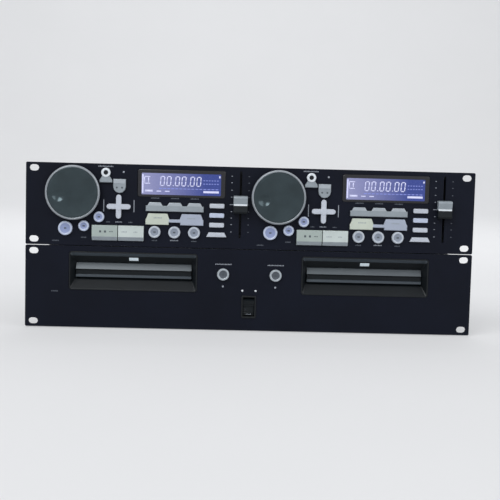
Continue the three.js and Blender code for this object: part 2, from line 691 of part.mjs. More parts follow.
function bezelSolid() {
  const quarter = quarterSides(bezel.corner);
  const rim = roundedRect(bezelWidth, bezelHeight, bezel.corner, 0, 0, quarter);
  const window = roundedRect(bezel.window, bezel.windowHeight, door.clearance, 0, 0, quarter);
  const back = bezel.depth + bezel.throat;
  const shell = loft([
    { outline: grow(window, bezel.wall), y: back },
    { outline: grow(window, bezel.wall), y: bezel.depth },
    { outline: rim, y: panel.thickness + bezel.flangeThickness },
    { outline: rim, y: 0 },
  ]);
  const flange = prism(grow(rim, bezel.flange), panel.thickness + seatGap + bezel.flangeThickness,
    panel.thickness + seatGap);
  const mouth = grow(rim, -bezel.rim);
  const slope = (mouth[0].x - window[0].x) / bezel.depth;
  const funnel = loft([
    { outline: window, y: back + overrun },
    { outline: window, y: bezel.depth },
    { outline: mouth, y: 0 },
    { outline: grow(mouth, slope * overrun), y: -overrun },
  ]);
  return cut(join(shell, flange), funnel);
}

// The tray front: a sloping upper part, a dark step and a lip below
function doorSolid() {
  const half = bezel.windowHeight / 2 - door.clearance;
  const lip = door.lipHeight - half;
  const face = lip + door.faceHeight;
  const profile = [
    [door.back, -half], [door.back, half], [door.bevelBack, half], [door.ridge, face + door.step],
    [door.face, face], [door.face, lip], [door.ridge, lip - door.step / 2],
    [door.ridge, door.lipEdge - half], [door.ridge + door.lipEdge, -half],
  ];
  const width = bezel.window / 2 - door.clearance;
  return join(across(profile, -width, width));
}

// Teeth: the half thickness of an involute tooth at a radius, and a gear and a rack cut by it

const rackPitch = Math.PI * gear.module;
const toothHalf = rackPitch / 4 - gear.backlash / 4;
const tipReach = gear.module * gear.tipShare;
const rootReach = gear.module * gear.rootShare;
const gearX = rootReach - channelWall + gearRadius;

function gearHalfTooth(radius) {
  const involute = (angle) => Math.tan(angle) - angle;
  const base = gearRadius * Math.cos(gear.pressure);
  const reached = Math.acos(base / Math.max(radius, base));
  return toothHalf / gearRadius + involute(gear.pressure) - involute(reached);
}

function gearOutline() {
  const radii = [gearRadius - rootReach, gearRadius + tipReach];
  const points = [];
  for (let tooth = 0; tooth < gear.teeth; tooth += 1) {
    const middle = Math.PI + (2 * Math.PI * tooth) / gear.teeth;
    const rising = radii.map((radius) => [radius, middle - gearHalfTooth(radius)]);
    const falling = radii.map((radius) => [radius, middle + gearHalfTooth(radius)]).reverse();
    points.push(...[...rising, ...falling].map(([radius, angle]) =>
      new THREE.Vector2(radius * Math.cos(angle), radius * Math.sin(angle))));
  }
  return points;
}

function gearSolid() {
  const low = tray.bottom - drive.gap + seatGap;
  const wheel = slab(gearOutline(), low, low + gear.thickness);
  return cut(join(wheel), rodZ(gear.bore, low - overrun, low + gear.thickness + overrun));
}

// The channel below the tray, its outer wall cut into rack teeth that mesh with the gear
function channelOutline() {
  const slope = Math.tan(gear.pressure);
  const root = -channelWall;
  const pitchLine = root + rootReach;
  const tip = pitchLine + tipReach;
  const rootHalf = toothHalf + rootReach * slope;
  const tipHalf = toothHalf - tipReach * slope;
  const first = gear.centre - rackPitch * 2 + rackPitch / 2;
  const points = [[root, door.back + rackChannel.start]];
  for (let tooth = 0; tooth < rackChannel.teeth; tooth += 1) {
    const middle = first + tooth * rackPitch;
    points.push([root, middle - rootHalf], [tip, middle - tipHalf]);
    points.push([tip, middle + tipHalf], [root, middle + rootHalf]);
  }
  const end = door.back + tray.length + overrun;
  const inner = root + rackChannel.width;
  points.push([root, end], [inner, end], [inner, points[0][1]]);
  return outlineFrom(points);
}

// A flat tray with a disc seat; its middle is open to the rear so that it slides clear of the spindle
function traySolid() {
  const half = trayWidth / 2;
  const front = door.back + seatGap;
  const end = door.back + tray.length;
  const body = block([-half, half], [front, end], [tray.bottom, tray.top]);
  const seat = rodZ(tray.seatRadius, tray.seat, tray.top + overrun).translate(0, tray.centre, 0);
  const well = rodZ(tray.wellRadius, tray.seat - tray.wellDepth, tray.top).translate(0, tray.centre, 0);
  const slotHalf = tray.slot / 2;
  const slot = outlineFrom([[slotHalf, end + overrun], [-slotHalf, end + overrun]])
    .concat(arcPoints(slotHalf, Math.PI, 2 * Math.PI, 0, tray.centre));
  const grooves = [-1, 1].map((side) => block(
    [side * half - tray.groove, side * half + tray.groove], [front - overrun, end + overrun],
    [tray.grooveBottom, tray.grooveTop]));
  return cut(join(body), seat, well, slab(slot, tray.bottom - overrun, tray.top + overrun),
    slab(channelOutline(), tray.bottom - overrun, rackChannel.roof), ...grooves);
}

// The loader frame: deck, side walls with guide ribs, clamp bridge, motor, sled rods, gear pin and legs

const deckTop = tray.bottom - drive.gap;
const deckBottom = deckTop - drive.deck;
const floorTop = panel.lift + chassis.inset + chassis.wall;
const sledTop = deckBottom - sled.drop;
const rodLevel = sledTop - sled.height / 2;
const sledFront = tray.centre + sled.inner - sled.length / 2;

function driveFrame() {
  const inner = trayWidth / 2 + drive.play;
  const outer = inner + drive.wall;
  const end = drive.front + drive.length;
  const depths = [drive.front, end];
  const pieces = [block([-outer, outer], depths, [deckBottom, deckTop])];
  const bridge = [tray.centre - drive.bridge / 2, tray.centre + drive.bridge / 2];
  const bridgeTop = drive.bridgeBottom + drive.bridgeThickness;
  pieces.push(block([-outer, outer], bridge, [drive.bridgeBottom, bridgeTop]));
  for (const side of [-1, 1]) {
    const wall = [side * inner, side * outer].sort((a, b) => a - b);
    pieces.push(block(wall, depths, [deckBottom, bridgeTop]));
    const tip = side * (trayWidth / 2 - tray.groove + drive.ribPlay);
    const rib = [tip, side * (inner + seatGap)].sort((a, b) => a - b);
    pieces.push(block(rib, depths, [tray.grooveBottom + drive.ribPlay, tray.grooveTop - drive.ribPlay]));
    for (const y of [drive.front + drive.legInset, end - drive.rearLeg]) {
      const leg = rodZ(drive.leg, floorTop + seatGap - trayLevel, deckBottom + seatGap);
      pieces.push(leg.translate(side * (outer - drive.legInset), y, 0));
    }
    const sledReach = sledFront + sled.length + sled.travel + seatGap;
    const hangers = [sledFront - seatGap, sledReach + sled.hangerThickness];
    for (const y of hangers) {
      const middle = side * sled.rodOffset;
      pieces.push(block([middle - sled.hanger / 2, middle + sled.hanger / 2], [y - sled.hangerThickness, y],
        [rodLevel - sled.hanger / 2, deckBottom + seatGap]));
    }
    const rodEnds = hangers.map((y) => y - sled.hangerThickness / 2);
    pieces.push(rodY(sled.rod, ...rodEnds).translate(side * sled.rodOffset, 0, rodLevel));
  }
  pieces.push(rodZ(spindle.motor, deckBottom - spindle.motorDepth, deckBottom + seatGap)
    .translate(0, tray.centre, 0));
  pieces.push(rodZ(gear.bore - seatGap, deckBottom, deckTop + seatGap + gear.thickness)
    .translate(gearX, gear.centre, 0));
  const windowBack = sledFront + sled.length + sled.travel;
  return cut(join(...pieces),
    rodZ(spindle.shaft + seatGap, deckBottom - drive.bearing, deckTop + overrun)
      .translate(0, tray.centre, 0),
    block([-drive.window / 2, drive.window / 2], [tray.centre + spindle.motor + seatGap, windowBack],
      [deckBottom - overrun, deckTop + overrun]));
}

// The turntable on its motor shaft, with a centring hub
function spindleSolid() {
  const top = tray.seat + spindle.lift;
  return join(turnedZ([
    [0, deckBottom - drive.bearing + seatGap], [spindle.shaft, deckBottom - drive.bearing + seatGap],
    [spindle.shaft, deckTop + seatGap], [spindle.neck, deckTop + seatGap],
    [spindle.neck, top - spindle.platter], [spindle.radius, top - spindle.platter], [spindle.radius, top],
    [spindle.hub, top], [spindle.neck, spindle.hubTop], [0, spindle.hubTop],
  ]).translate(0, tray.centre, 0));
}

// The optical sled: a carriage on two rods, with a lens that looks up through the deck's window
function sledSolid() {
  const middle = sledFront + sled.length / 2;
  const carriage = block([-sled.width / 2, sled.width / 2], [sledFront, sledFront + sled.length],
    [sledTop - sled.height, sledTop]);
  const headDepths = [middle - sled.headLength / 2, middle + sled.headLength / 2];
  const head = block([-sled.head / 2, sled.head / 2], headDepths, [sledTop - seatGap, sled.headTop]);
  const lens = rodZ(sled.lens, sled.headTop - seatGap, sled.headTop + sled.lensRise)
    .translate(0, middle, 0);
  const boreEnds = [sledFront - overrun, sledFront + sled.length + overrun];
  const bores = [-1, 1].map((side) => rodY(sled.rod + seatGap, ...boreEnds)
    .translate(side * sled.rodOffset, 0, rodLevel));
  return cut(join(carriage, head, lens), ...bores);
}

// The power switch: a body behind the panel with a thin frame in front, and a rocking paddle in it

function switchBody() {
  const width = rocker.width + 2 * seatGap;
  const height = 2 * (rocker.radius + seatGap);
  const outer = roundedRect(width + 2 * rocker.frame, height + 2 * rocker.frame, rocker.frameCorner);
  const inner = grow(outer, -rocker.frame / 2);
  const frame = prism(outer, -seatGap, -seatGap - rocker.frameProud);
  const cavity = block([-width / 2, width / 2], [-rocker.bodyDepth, rocker.bodyDepth / 2],
    [-height / 2, height / 2]);
  const pins = rodY(rocker.pin + seatGap, -width / 2 - rocker.pinReach, width / 2 + rocker.pinReach)
    .rotateZ(Math.PI / 2).translate(0, rocker.pivot, 0);
  return cut(join(frame, prism(inner, rocker.bodyDepth, -rocker.frameProud)), cavity, pins);
}

function paddleSolid() {
  const at = (radius, angle) => [rocker.pivot - radius * Math.sin(angle), radius * Math.cos(angle)];
  const ends = [-rocker.backAngle, 0, rocker.frontAngle].map((angle) => at(rocker.radius, angle));
  const [tipY, tipZ] = ends.at(-1);
  const valleyY = rocker.pivot - rocker.valley;
  const face = [];
  for (let i = 1; i < 2 * rocker.ridges; i += 1) {
    const along = i / (2 * rocker.ridges);
    const sunk = i % 2 === 1 ? rocker.ridgeDepth : 0;
    face.push([tipY + (valleyY - tipY) * along + sunk, tipZ * (1 - along)]);
  }
  const upper = [...ends, ...face];
  const lower = upper.map(([y, z]) => [y, -z]).reverse();
  const profile = [...upper, [valleyY, 0], ...lower];
  const half = rocker.width / 2;
  const reach = half + rocker.pinReach - seatGap;
  const pin = rodY(rocker.pin, -reach, reach).rotateZ(Math.PI / 2).translate(0, rocker.pivot, 0);
  const paddle = across(profile, -half, half).translate(0, -rocker.pivot, 0).rotateX(rocker.tilt)
    .translate(0, rocker.pivot, 0);
  return join(paddle, pin);
}

function transportPanel() {
  const bezelRim = roundedRect(bezelWidth, bezelHeight, bezel.corner);
  const switchRim = roundedRect(rocker.width + 2 * seatGap + rocker.frame,
    2 * (rocker.radius + seatGap) + rocker.frame, rocker.frameCorner - rocker.frame / 2 + seatGap);
  const holes = [shifted(grow(switchRim, seatGap), 0, transportTop - rockerDown)];
  for (const side of [-1, 1]) {
    holes.push(shifted(grow(bezelRim, seatGap), side * trayOffset, trayLevel));
    holes.push(shifted(grow(circle(eject.radius), seatGap), side * ejectOffset, transportTop - ejectDown));
  }
  return rackPanel(transportTop, holes);
}

const boardLeft = mainBoard.inset - bodyWidth / 2;
const boardRight = mainBoard.rightShare * bodyWidth;
const supplyLeft = supply.leftShare * bodyWidth;
const supplyRight = bodyWidth / 2 - supply.inset;
const inletX = supplyRight - inlet.inset;
const jackPlaces = Array.from({ length: jack.count },
  (_, i) => boardLeft + jack.inset + i * jack.pitch);
const linkPlaces = [jackPlaces.at(-1) + link.step, jackPlaces.at(-1) + link.step + link.pitch];
const boardTop = floorTop + mainBoard.rise + mainBoard.thickness;
const jackLevel = boardTop + jack.blockHeight / 2;
const linkLevel = boardTop + link.height / 2;
const inletLevel = boardTop + inlet.rise;
const boardBack = rearWall - chassis.wall - seatGap;
const boardFront = boardBack - mainBoard.depth;

const inletOutline = () => roundedRect(inlet.width, inlet.height, inlet.corner, inletX, inletLevel);

// Slots in a wall, each a block cut, in one row about a middle
function ventSlots(middle, depths, levels, pitch = vent.pitch) {
  return rowPlaces(vent.count, pitch).map((x) =>
    block([middle + x - vent.width / 2, middle + x + vent.width / 2], depths, levels));
}

function chassisBase() {
  const half = bodyWidth / 2 - chassis.wall - seatGap;
  const front = panel.thickness + seatGap;
  const low = floorTop - chassis.wall;
  const high = transportTop - chassis.inset - chassis.wall - seatGap;
  const pieces = [
    block([-half, half], [front, rearWall], [low, floorTop]),
    block([-half, half], [rearWall - chassis.wall, rearWall], [low, high]),
    block([-half, half], [front, front + chassis.wall], [low, low + chassis.flange]),
  ];
  for (const side of [-1, 1]) {
    const flange = [side * half, side * (half - chassis.wall)].sort((a, b) => a - b);
    pieces.push(block(flange, [front, rearWall], [low, low + chassis.flange]));
    for (const y of [front + chassis.footInset, rearWall - chassis.footInset]) {
      const foot = turnedZ([
        [0, 0], [chassis.foot - low, 0], [chassis.foot, low + seatGap], [0, low + seatGap],
      ]);
      pieces.push(foot.translate(side * (half - chassis.footInset), y, 0));
    }
  }
  const wall = [rearWall - chassis.wall - overrun, rearWall + overrun];
  const holes = jackPlaces.map((x) => rodY(jack.barrel + seatGap, ...wall).translate(x, 0, jackLevel));
  for (const x of linkPlaces) {
    holes.push(block([x - link.width / 2 - seatGap, x + link.width / 2 + seatGap], wall,
      [linkLevel - link.height / 2 - seatGap, linkLevel + link.height / 2 + seatGap]));
  }
  holes.push(prism(grow(inletOutline(), seatGap), wall[1], wall[0]));
  const ventTop = high - chassis.flange;
  holes.push(...ventSlots(0, wall, [ventTop - vent.length, ventTop]));
  return cut(join(...pieces), ...holes);
}

function chassisCover() {
  const half = bodyWidth / 2;
  const front = panel.thickness + seatGap;
  const low = floorTop - chassis.wall;
  const high = transportTop - chassis.inset;
  const inner = half - chassis.wall;
  const shell = cut(join(block([-half, half], [front, rearWall], [low, high])),
    block([-inner, inner], [front - overrun, rearWall + overrun], [low - overrun, high - chassis.wall]));
  const depths = [rearWall - vent.pitch - vent.length, rearWall - vent.pitch];
  const rows = [-1, 1].flatMap((side) =>
    ventSlots((side * half) / 2, depths, [high - chassis.wall - overrun, high + overrun]));
  return cut(shell, ...rows);
}

// The main board at the rear, with its jacks and the two control sockets that reach through the wall
function mainBoardSolid() {
  const { post, postInset } = mainBoard;
  let whole = join(block([boardLeft, boardRight], [boardFront, boardBack],
    [boardTop - mainBoard.thickness, boardTop]));
  for (const x of [boardLeft + postInset, boardRight - postInset]) {
    for (const y of [boardFront + postInset, boardBack - postInset]) {
      const leg = rodZ(post, floorTop + seatGap, boardTop - mainBoard.thickness / 2);
      whole = whole.add(toSolid(leg.translate(x, y, 0)));
    }
  }
  for (const x of jackPlaces) {
    const half = jack.block / 2;
    const body = block([x - half, x + half], [boardBack - jack.blockDepth, boardBack],
      [boardTop - mainBoard.thickness / 2, boardTop + jack.blockHeight]);
    const barrel = rodY(jack.barrel, boardBack - overrun, rearWall + jack.reach).translate(x, 0, jackLevel);
    const bore = rodY(jack.bore, rearWall + jack.reach - jack.boreDepth, rearWall + jack.reach + overrun)
      .translate(x, 0, jackLevel);
    whole = cut(whole.add(toSolid(body)).add(toSolid(barrel)), bore);
  }
  for (const x of linkPlaces) {
    const housing = prism(roundedRect(link.width, link.height, link.corner, x, linkLevel),
      rearWall + link.proud, rearWall - link.depth);
    const mouth = prism(circle(link.radius, x, linkLevel), rearWall + link.proud + overrun,
      rearWall + link.proud - link.recess);
    whole = cut(whole.add(toSolid(housing)), mouth);
  }
  return whole;
}

// The power supply: its board, transformer and mains inlet with three blades
function supplySolid() {
  const { transformer } = supply;
  const low = boardTop - mainBoard.thickness;
  const middle = supplyLeft + transformer / 2 + mainBoard.postInset;
  let whole = join(
    block([supplyLeft, supplyRight], [boardFront, boardBack], [low, boardTop]),
    block([middle - transformer / 2, middle + transformer / 2],
      [boardFront + seatGap, boardFront + seatGap + supply.transformerLength],
      [boardTop - seatGap, boardTop + supply.transformerHeight]),
    block([inletX - inlet.block, inletX + inlet.block], [rearWall - inlet.depth, boardBack],
      [boardTop - seatGap, inletLevel]),
    prism(inletOutline(), rearWall + inlet.proud, rearWall - inlet.depth - inlet.wall),
  );
  const cavity = grow(inletOutline(), -inlet.wall);
  whole = cut(whole, prism(cavity, rearWall + inlet.proud + overrun, rearWall - inlet.depth));
  const blades = [
    [-inlet.pinSpread, -inlet.pinDrop], [0, inlet.pinDrop], [inlet.pinSpread, -inlet.pinDrop],
  ];
  for (const [x, z] of blades) {
    whole = whole.add(toSolid(block([inletX + x - inlet.pin / 2, inletX + x + inlet.pin / 2],
      [rearWall - inlet.depth - seatGap, rearWall - inlet.depth + inlet.pinReach],
      [inletLevel + z - inlet.pinLong / 2, inletLevel + z + inlet.pinLong / 2])));
  }
  for (const x of [supplyLeft + mainBoard.postInset, supplyRight - mainBoard.postInset]) {
    for (const y of [boardFront + mainBoard.postInset, boardBack - mainBoard.postInset]) {
      const post = rodZ(mainBoard.post, floorTop + seatGap, low + seatGap);
      whole = whole.add(toSolid(post.translate(x, y, 0)));
    }
  }
  return whole;
}

// Assembly

add("controller_panel", controllerPanel(), paint);
add("controller_case", controllerCase(), steel);
add("controller_board", controllerBoard(), circuitGreen);
add("transport_panel", transportPanel(), paint);
add("chassis_base", chassisBase(), zinc);
add("chassis_cover", chassisCover(), steel);
add("main_board", mainBoardSolid(), circuitGreen);
add("power_supply", supplySolid(), circuitGreen);
add("power_switch_body", switchBody(), blackPlastic, onTransport(0, rockerDown));
add("power_rocker", paddleSolid(), blackPlastic, onTransport(0, rockerDown));

for (const [side, start] of Object.entries(deckStarts)) addDeck(side, start);

const traySides = { left: -1, right: 1 };
for (const [side, sign] of Object.entries(traySides)) {
  const place = [sign * trayOffset, 0, trayLevel];
  add(`tray_surround_${side}`, bezelSolid(), blackPlastic, place);
  add(`drive_frame_${side}`, driveFrame(), blackPlastic, place);
  add(`disc_tray_${side}`, traySolid(), blackPlastic, place);
  add(`tray_front_${side}`, doorSolid(), silver, place);
  add(`loading_gear_${side}`, gearSolid(), nylon, [place[0] + gearX, gear.centre, trayLevel]);
  add(`spindle_${side}`, spindleSolid(), zinc, place);
  add(`laser_sled_${side}`, sledSolid(), blackPlastic, place);
  add(`eject_key_${side}`, dishedKey(eject.radius), silver, onTransport(sign * ejectOffset, ejectDown));
}

// The part's box is centred on the origin from front to back
part.position.y = (frontReach - rearWall - jack.reach) / 2;

export default part;
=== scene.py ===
# A dual disc player for a 19-inch rack: rounded front pieces, finishes, light and camera
import math

import bmesh
import bpy
from mathutils import Matrix, Vector
from mathutils.bvhtree import BVHTree

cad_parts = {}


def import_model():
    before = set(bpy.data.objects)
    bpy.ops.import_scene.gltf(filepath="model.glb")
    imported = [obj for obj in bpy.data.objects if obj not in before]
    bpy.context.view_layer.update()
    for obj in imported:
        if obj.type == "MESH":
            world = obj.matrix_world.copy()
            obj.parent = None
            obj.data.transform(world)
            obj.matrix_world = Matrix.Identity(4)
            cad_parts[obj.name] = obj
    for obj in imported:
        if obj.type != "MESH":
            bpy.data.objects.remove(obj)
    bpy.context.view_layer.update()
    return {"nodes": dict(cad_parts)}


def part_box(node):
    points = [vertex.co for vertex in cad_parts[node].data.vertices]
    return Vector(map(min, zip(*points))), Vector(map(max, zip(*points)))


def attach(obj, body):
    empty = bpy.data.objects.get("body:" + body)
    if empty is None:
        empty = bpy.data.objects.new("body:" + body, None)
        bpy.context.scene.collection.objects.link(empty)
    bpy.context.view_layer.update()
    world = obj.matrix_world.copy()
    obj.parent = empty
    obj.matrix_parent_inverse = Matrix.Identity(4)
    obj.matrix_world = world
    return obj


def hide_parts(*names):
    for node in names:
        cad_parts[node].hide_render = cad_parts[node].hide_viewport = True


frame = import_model()

# Lengths in millimetres: what counts as one point, and how prints meet the faces that carry them

MM = 0.001
WELD = 0.0001
MERGE = 0.002
HAIR = 0.04
SINK = 0.02
ROOT = 0.1

# The widest area shaded smooth, and the angles under which faces join and over which edges are rounded

FLAT_AREA = 30
FLAT_ANGLE = math.radians(1)
SHARP_ANGLE = math.radians(25)

SIDES = {"left": -1, "right": 1}
ACROSS = Vector((1, 0, 0))
DEPTH = Vector((0, 1, 0))
UP = Vector((0, 0, 1))


def node_box(node):
    """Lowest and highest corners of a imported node, in millimetres."""
    low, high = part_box(node)
    return low / MM, high / MM


def middle(node):
    low, high = node_box(node)
    return (low + high) / 2


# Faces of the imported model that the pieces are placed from, in millimetres

PANEL_LOW, PANEL_HIGH = node_box("controller_panel")
FRONT = PANEL_LOW.y
CONTROLLER_TOP = PANEL_HIGH.z
TRANSPORT_TOP = node_box("transport_panel")[1].z
CASE_LOW, CASE_HIGH = node_box("controller_case")
COVER_LOW, COVER_HIGH = node_box("chassis_cover")
CASE_MIDDLE = middle("controller_case").z
REAR = node_box("chassis_base")[1].y
MAIN_BOARD_FOOT = node_box("main_board")[0].z
BOARD_RISE = 10.3
BOARD_TOP = MAIN_BOARD_FOOT + BOARD_RISE
DECK_WIDTH = middle("jog_wheel_right").x - middle("jog_wheel_left").x
DECK_STARTS = {"left": PANEL_LOW.x, "right": PANEL_LOW.x + DECK_WIDTH}


def on_deck(side, x, down):
    """A place on the controller's front: across from the deck's edge, and down from the top."""
    return (DECK_STARTS[side] + x, FRONT, CONTROLLER_TOP - down)


def on_transport(x, down):
    return (x, FRONT, TRANSPORT_TOP - down)


# Finishes: colours are written as they should look, from 0 to 255

BUMP_DEPTH = 0.2
GLOSS_SWING = 0.1
COAT_ROUGHNESS = 0.15


def tone(*channels):
    return tuple(((channel / 255 + 0.055) / 1.055) ** 2.4 for channel in channels)


def node_tree(name):
    material = bpy.data.materials.new(name)
    material.use_nodes = True
    tree = material.node_tree
    return material, tree, tree.nodes["Principled BSDF"]


def noise(tree, scale, detail=3.0, stretch=(1, 1, 1)):
    place = tree.nodes.new("ShaderNodeTexCoord")
    mapping = tree.nodes.new("ShaderNodeMapping")
    mapping.inputs["Scale"].default_value = stretch
    texture = tree.nodes.new("ShaderNodeTexNoise")
    texture.inputs["Scale"].default_value = scale
    texture.inputs["Detail"].default_value = detail
    tree.links.new(place.outputs["Object"], mapping.inputs["Vector"])
    tree.links.new(mapping.outputs["Vector"], texture.inputs["Vector"])
    return texture.outputs["Fac"]


def spread(tree, value, low, high, start=0.3, end=0.7):
    span = tree.nodes.new("ShaderNodeMapRange")
    span.inputs["From Min"].default_value = start
    span.inputs["From Max"].default_value = end
    span.inputs["To Min"].default_value = low
    span.inputs["To Max"].default_value = high
    tree.links.new(value, span.inputs["Value"])
    return span.outputs["Result"]


def tinted(tree, shader, value, dark, light, start=0.3, end=0.7):
    """Colours the surface from dark to light as a value goes from start to end."""
    ramp = tree.nodes.new("ShaderNodeValToRGB")
    first, last = ramp.color_ramp.elements
    first.position, first.color = start, (*dark, 1)
    last.position, last.color = end, (*light, 1)
    tree.links.new(value, ramp.inputs["Fac"])
    tree.links.new(ramp.outputs["Color"], shader.inputs["Base Color"])
    return ramp.outputs["Color"]


def bumped(tree, shader, value, strength):
    bump = tree.nodes.new("ShaderNodeBump")
    bump.inputs["Strength"].default_value = strength
    bump.inputs["Distance"].default_value = BUMP_DEPTH * MM
    tree.links.new(value, bump.inputs["Height"])
    tree.links.new(bump.outputs["Normal"], shader.inputs["Normal"])


def surface(name, colour, roughness=0.4, contrast=0.1, patch=45, grain=1400, bump=0.1, stretch=(1, 1, 1),
            metallic=0.0, coat=0.0, specular=0.5, glow=0.0):
    """A finish with slow changes of shade, fine grain, and a roughness that follows the grain."""
    material, tree, shader = node_tree(name)
    cloud = noise(tree, patch, stretch=stretch)
    fine = noise(tree, grain, detail=2.0, stretch=stretch)
    dark = [channel * (1 - contrast) for channel in colour]
    light = [min(1, channel * (1 + contrast)) for channel in colour]
    shade = tinted(tree, shader, cloud, dark, light)
    gloss = spread(tree, fine, roughness * (1 - GLOSS_SWING), roughness * (1 + GLOSS_SWING))
    tree.links.new(gloss, shader.inputs["Roughness"])
    bumped(tree, shader, fine, bump)
    shader.inputs["Metallic"].default_value = metallic
    shader.inputs["Specular IOR Level"].default_value = specular
    shader.inputs["Coat Weight"].default_value = coat
    shader.inputs["Coat Roughness"].default_value = COAT_ROUGHNESS
    if glow:
        tree.links.new(shade, shader.inputs["Emission Color"])
        shader.inputs["Emission Strength"].default_value = glow
    return material


DISPLAY = {"field_x": 165.9, "field_width": 85, "field_down": 20.2, "field_height": 23, "corner": 0.8,
           "glow": 0.3}


def lit_field():
    """The lit field of a display: lavender at its left and deep blue at its right, alike on both decks."""
    material, tree, shader = node_tree("blue_lit_field")
    place = tree.nodes.new("ShaderNodeTexCoord")
    split = tree.nodes.new("ShaderNodeSeparateXYZ")
    wrap = tree.nodes.new("ShaderNodeMath")
    wrap.operation = "WRAP"
    start = (DECK_STARTS["left"] + DISPLAY["field_x"] - DISPLAY["field_width"] / 2) * MM
    wrap.inputs[1].default_value = start + DECK_WIDTH * MM
    wrap.inputs[2].default_value = start
    tree.links.new(place.outputs["Object"], split.inputs["Vector"])
    tree.links.new(split.outputs["X"], wrap.inputs[0])
    along = spread(tree, wrap.outputs["Value"], 0, 1, start, start + DISPLAY["field_width"] * MM)
    left, right = tone(128, 130, 168), tone(46, 60, 126)
    shade = tinted(tree, shader, along, left, right, start=0.05, end=0.8)
    grain = noise(tree, scale=2200, detail=2.0)
    tree.links.new(spread(tree, grain, low=0.22, high=0.3), shader.inputs["Roughness"])
    bumped(tree, shader, grain, strength=0.03)
    tree.links.new(shade, shader.inputs["Emission Color"])
    shader.inputs["Emission Strength"].default_value = DISPLAY["glow"]
    return material


PAINT = surface("blue_black_paint", tone(12, 16, 28), roughness=0.5, contrast=0.16, patch=16, grain=1500,
                bump=0.22, specular=0.12)
POWDER = surface("black_powder_coat", tone(27, 28, 33), roughness=0.6, contrast=0.12, patch=12, grain=2600,
                 bump=0.5, specular=0.35)
ZINC = surface("zinc_plate", tone(178, 181, 184), roughness=0.36, contrast=0.07, patch=30, grain=420,
               bump=0.08, stretch=(1, 8, 8), metallic=0.85)
STEEL = surface("bright_steel", tone(196, 198, 200), roughness=0.28, contrast=0.05, patch=60, grain=900,
                bump=0.05, metallic=0.9)
BRASS = surface("gilt_contact", tone(206, 176, 112), roughness=0.25, contrast=0.06, patch=200, bump=0.03,
                metallic=0.9)
BOARD = surface("green_circuit_board", tone(38, 92, 62), roughness=0.4, contrast=0.25, patch=160, coat=0.3)
BLACK = surface("black_moulding", tone(12, 17, 21), roughness=0.45, contrast=0.14, grain=1700, bump=0.2,
                specular=0.28)
TRAY_BLACK = surface("dark_satin_moulding", tone(15, 20, 24), roughness=0.36, contrast=0.12, patch=30,
                     grain=1900, bump=0.12, specular=0.18)
# Charcoal for the surrounds' upper slopes and the tray fronts' lower lips: a painted highlight, lighter than
# their black
CHARCOAL_HIGHLIGHT = surface("charcoal_painted_highlight", tone(54, 63, 71), roughness=0.4, contrast=0.1, patch=40, grain=1700,
                   bump=0.12)
# Satin grey for the up-facing top bevel of the tray fronts: a painted highlight
BEVEL_HIGHLIGHT = surface("satin_grey_painted_highlight", tone(88, 95, 100), roughness=0.42, contrast=0.08, patch=9,
                     grain=2400, bump=0.04, stretch=(1, 5, 5), metallic=0.2)
SILVER = surface("silver_key", tone(166, 174, 181), roughness=0.33, contrast=0.05, patch=60, grain=2200,
                 bump=0.04, metallic=0.25)
BRIGHT = surface("bright_rim", tone(146, 152, 158), roughness=0.3, contrast=0.05, patch=40, grain=2600,
                 bump=0.03, metallic=0.4)
DISH = surface("jog_dish", tone(58, 69, 73), roughness=0.24, contrast=0.14, patch=60, grain=1800, bump=0.04,
               metallic=0.9, coat=0.15)
LAVENDER = surface("lavender_key", tone(182, 192, 214), roughness=0.32, contrast=0.05, patch=90, bump=0.05,
                   coat=0.15)
LAVENDER_DEEP = surface("lavender_key_dish", tone(136, 148, 186), roughness=0.36, contrast=0.07, patch=120,
                        bump=0.05)
PALE = surface("pale_key_rim", tone(178, 186, 197), roughness=0.33, contrast=0.04, patch=90, bump=0.05,
               coat=0.1)
PALE_DISH = surface("pale_key_dish", tone(132, 141, 156), roughness=0.36, contrast=0.06, patch=120,
                    bump=0.05)
WHITE = surface("white_key", tone(186, 192, 203), roughness=0.36, contrast=0.04, patch=70, bump=0.06)
SAGE = surface("sage_key", tone(160, 172, 168), roughness=0.37, contrast=0.05, patch=70, bump=0.06)
IVORY = surface("ivory_key", tone(190, 200, 198), roughness=0.37, contrast=0.05, patch=70, bump=0.06)
LIME = surface("yellow_green_key", tone(190, 198, 186), roughness=0.37, contrast=0.05, patch=70, bump=0.06)
BLUISH = surface("bluish_key", tone(160, 169, 186), roughness=0.37, contrast=0.05, patch=70, bump=0.06)
GREY = surface("grey_key", tone(140, 149, 156), roughness=0.38, contrast=0.07, patch=70, bump=0.08)
# Dim grey of the eject keys' dishes, also used as a painted highlight on the transport panel's top face
DIM_AND_SEAM_HIGHLIGHT = surface("dim_grey_key_and_seam_highlight", tone(72, 79, 88), roughness=0.38, contrast=0.1, patch=70, bump=0.08)
MARK = surface("pale_print", tone(146, 152, 162), roughness=0.5, contrast=0.1, patch=300, bump=0.1)
FAINT = surface("grey_print", tone(84, 90, 100), roughness=0.5, contrast=0.12, patch=300, bump=0.1)
DARK_PRINT = surface("dark_print", tone(70, 78, 84), roughness=0.5, contrast=0.12, patch=300, bump=0.1)
GLASS = surface("black_window", tone(12, 12, 20), roughness=0.14, contrast=0.15, patch=40, grain=500,
                bump=0.01, coat=0.3)
LIT = lit_field()
SEGMENT = surface("pale_segments", tone(198, 200, 232), roughness=0.3, contrast=0.04, patch=200, bump=0.03,
                  glow=0.25)
DIM_SEGMENT = surface("dim_segments", tone(118, 128, 196), roughness=0.3, contrast=0.08, patch=200,
                      bump=0.03, glow=0.2)
# The badge faces down into shade; its glow is painted light that keeps it white
BADGE_PAINTED_GLOW = surface("white_badge_painted_glow", tone(196, 208, 215), roughness=0.4, contrast=0.05, patch=300,
                      bump=0.03, glow=0.35)
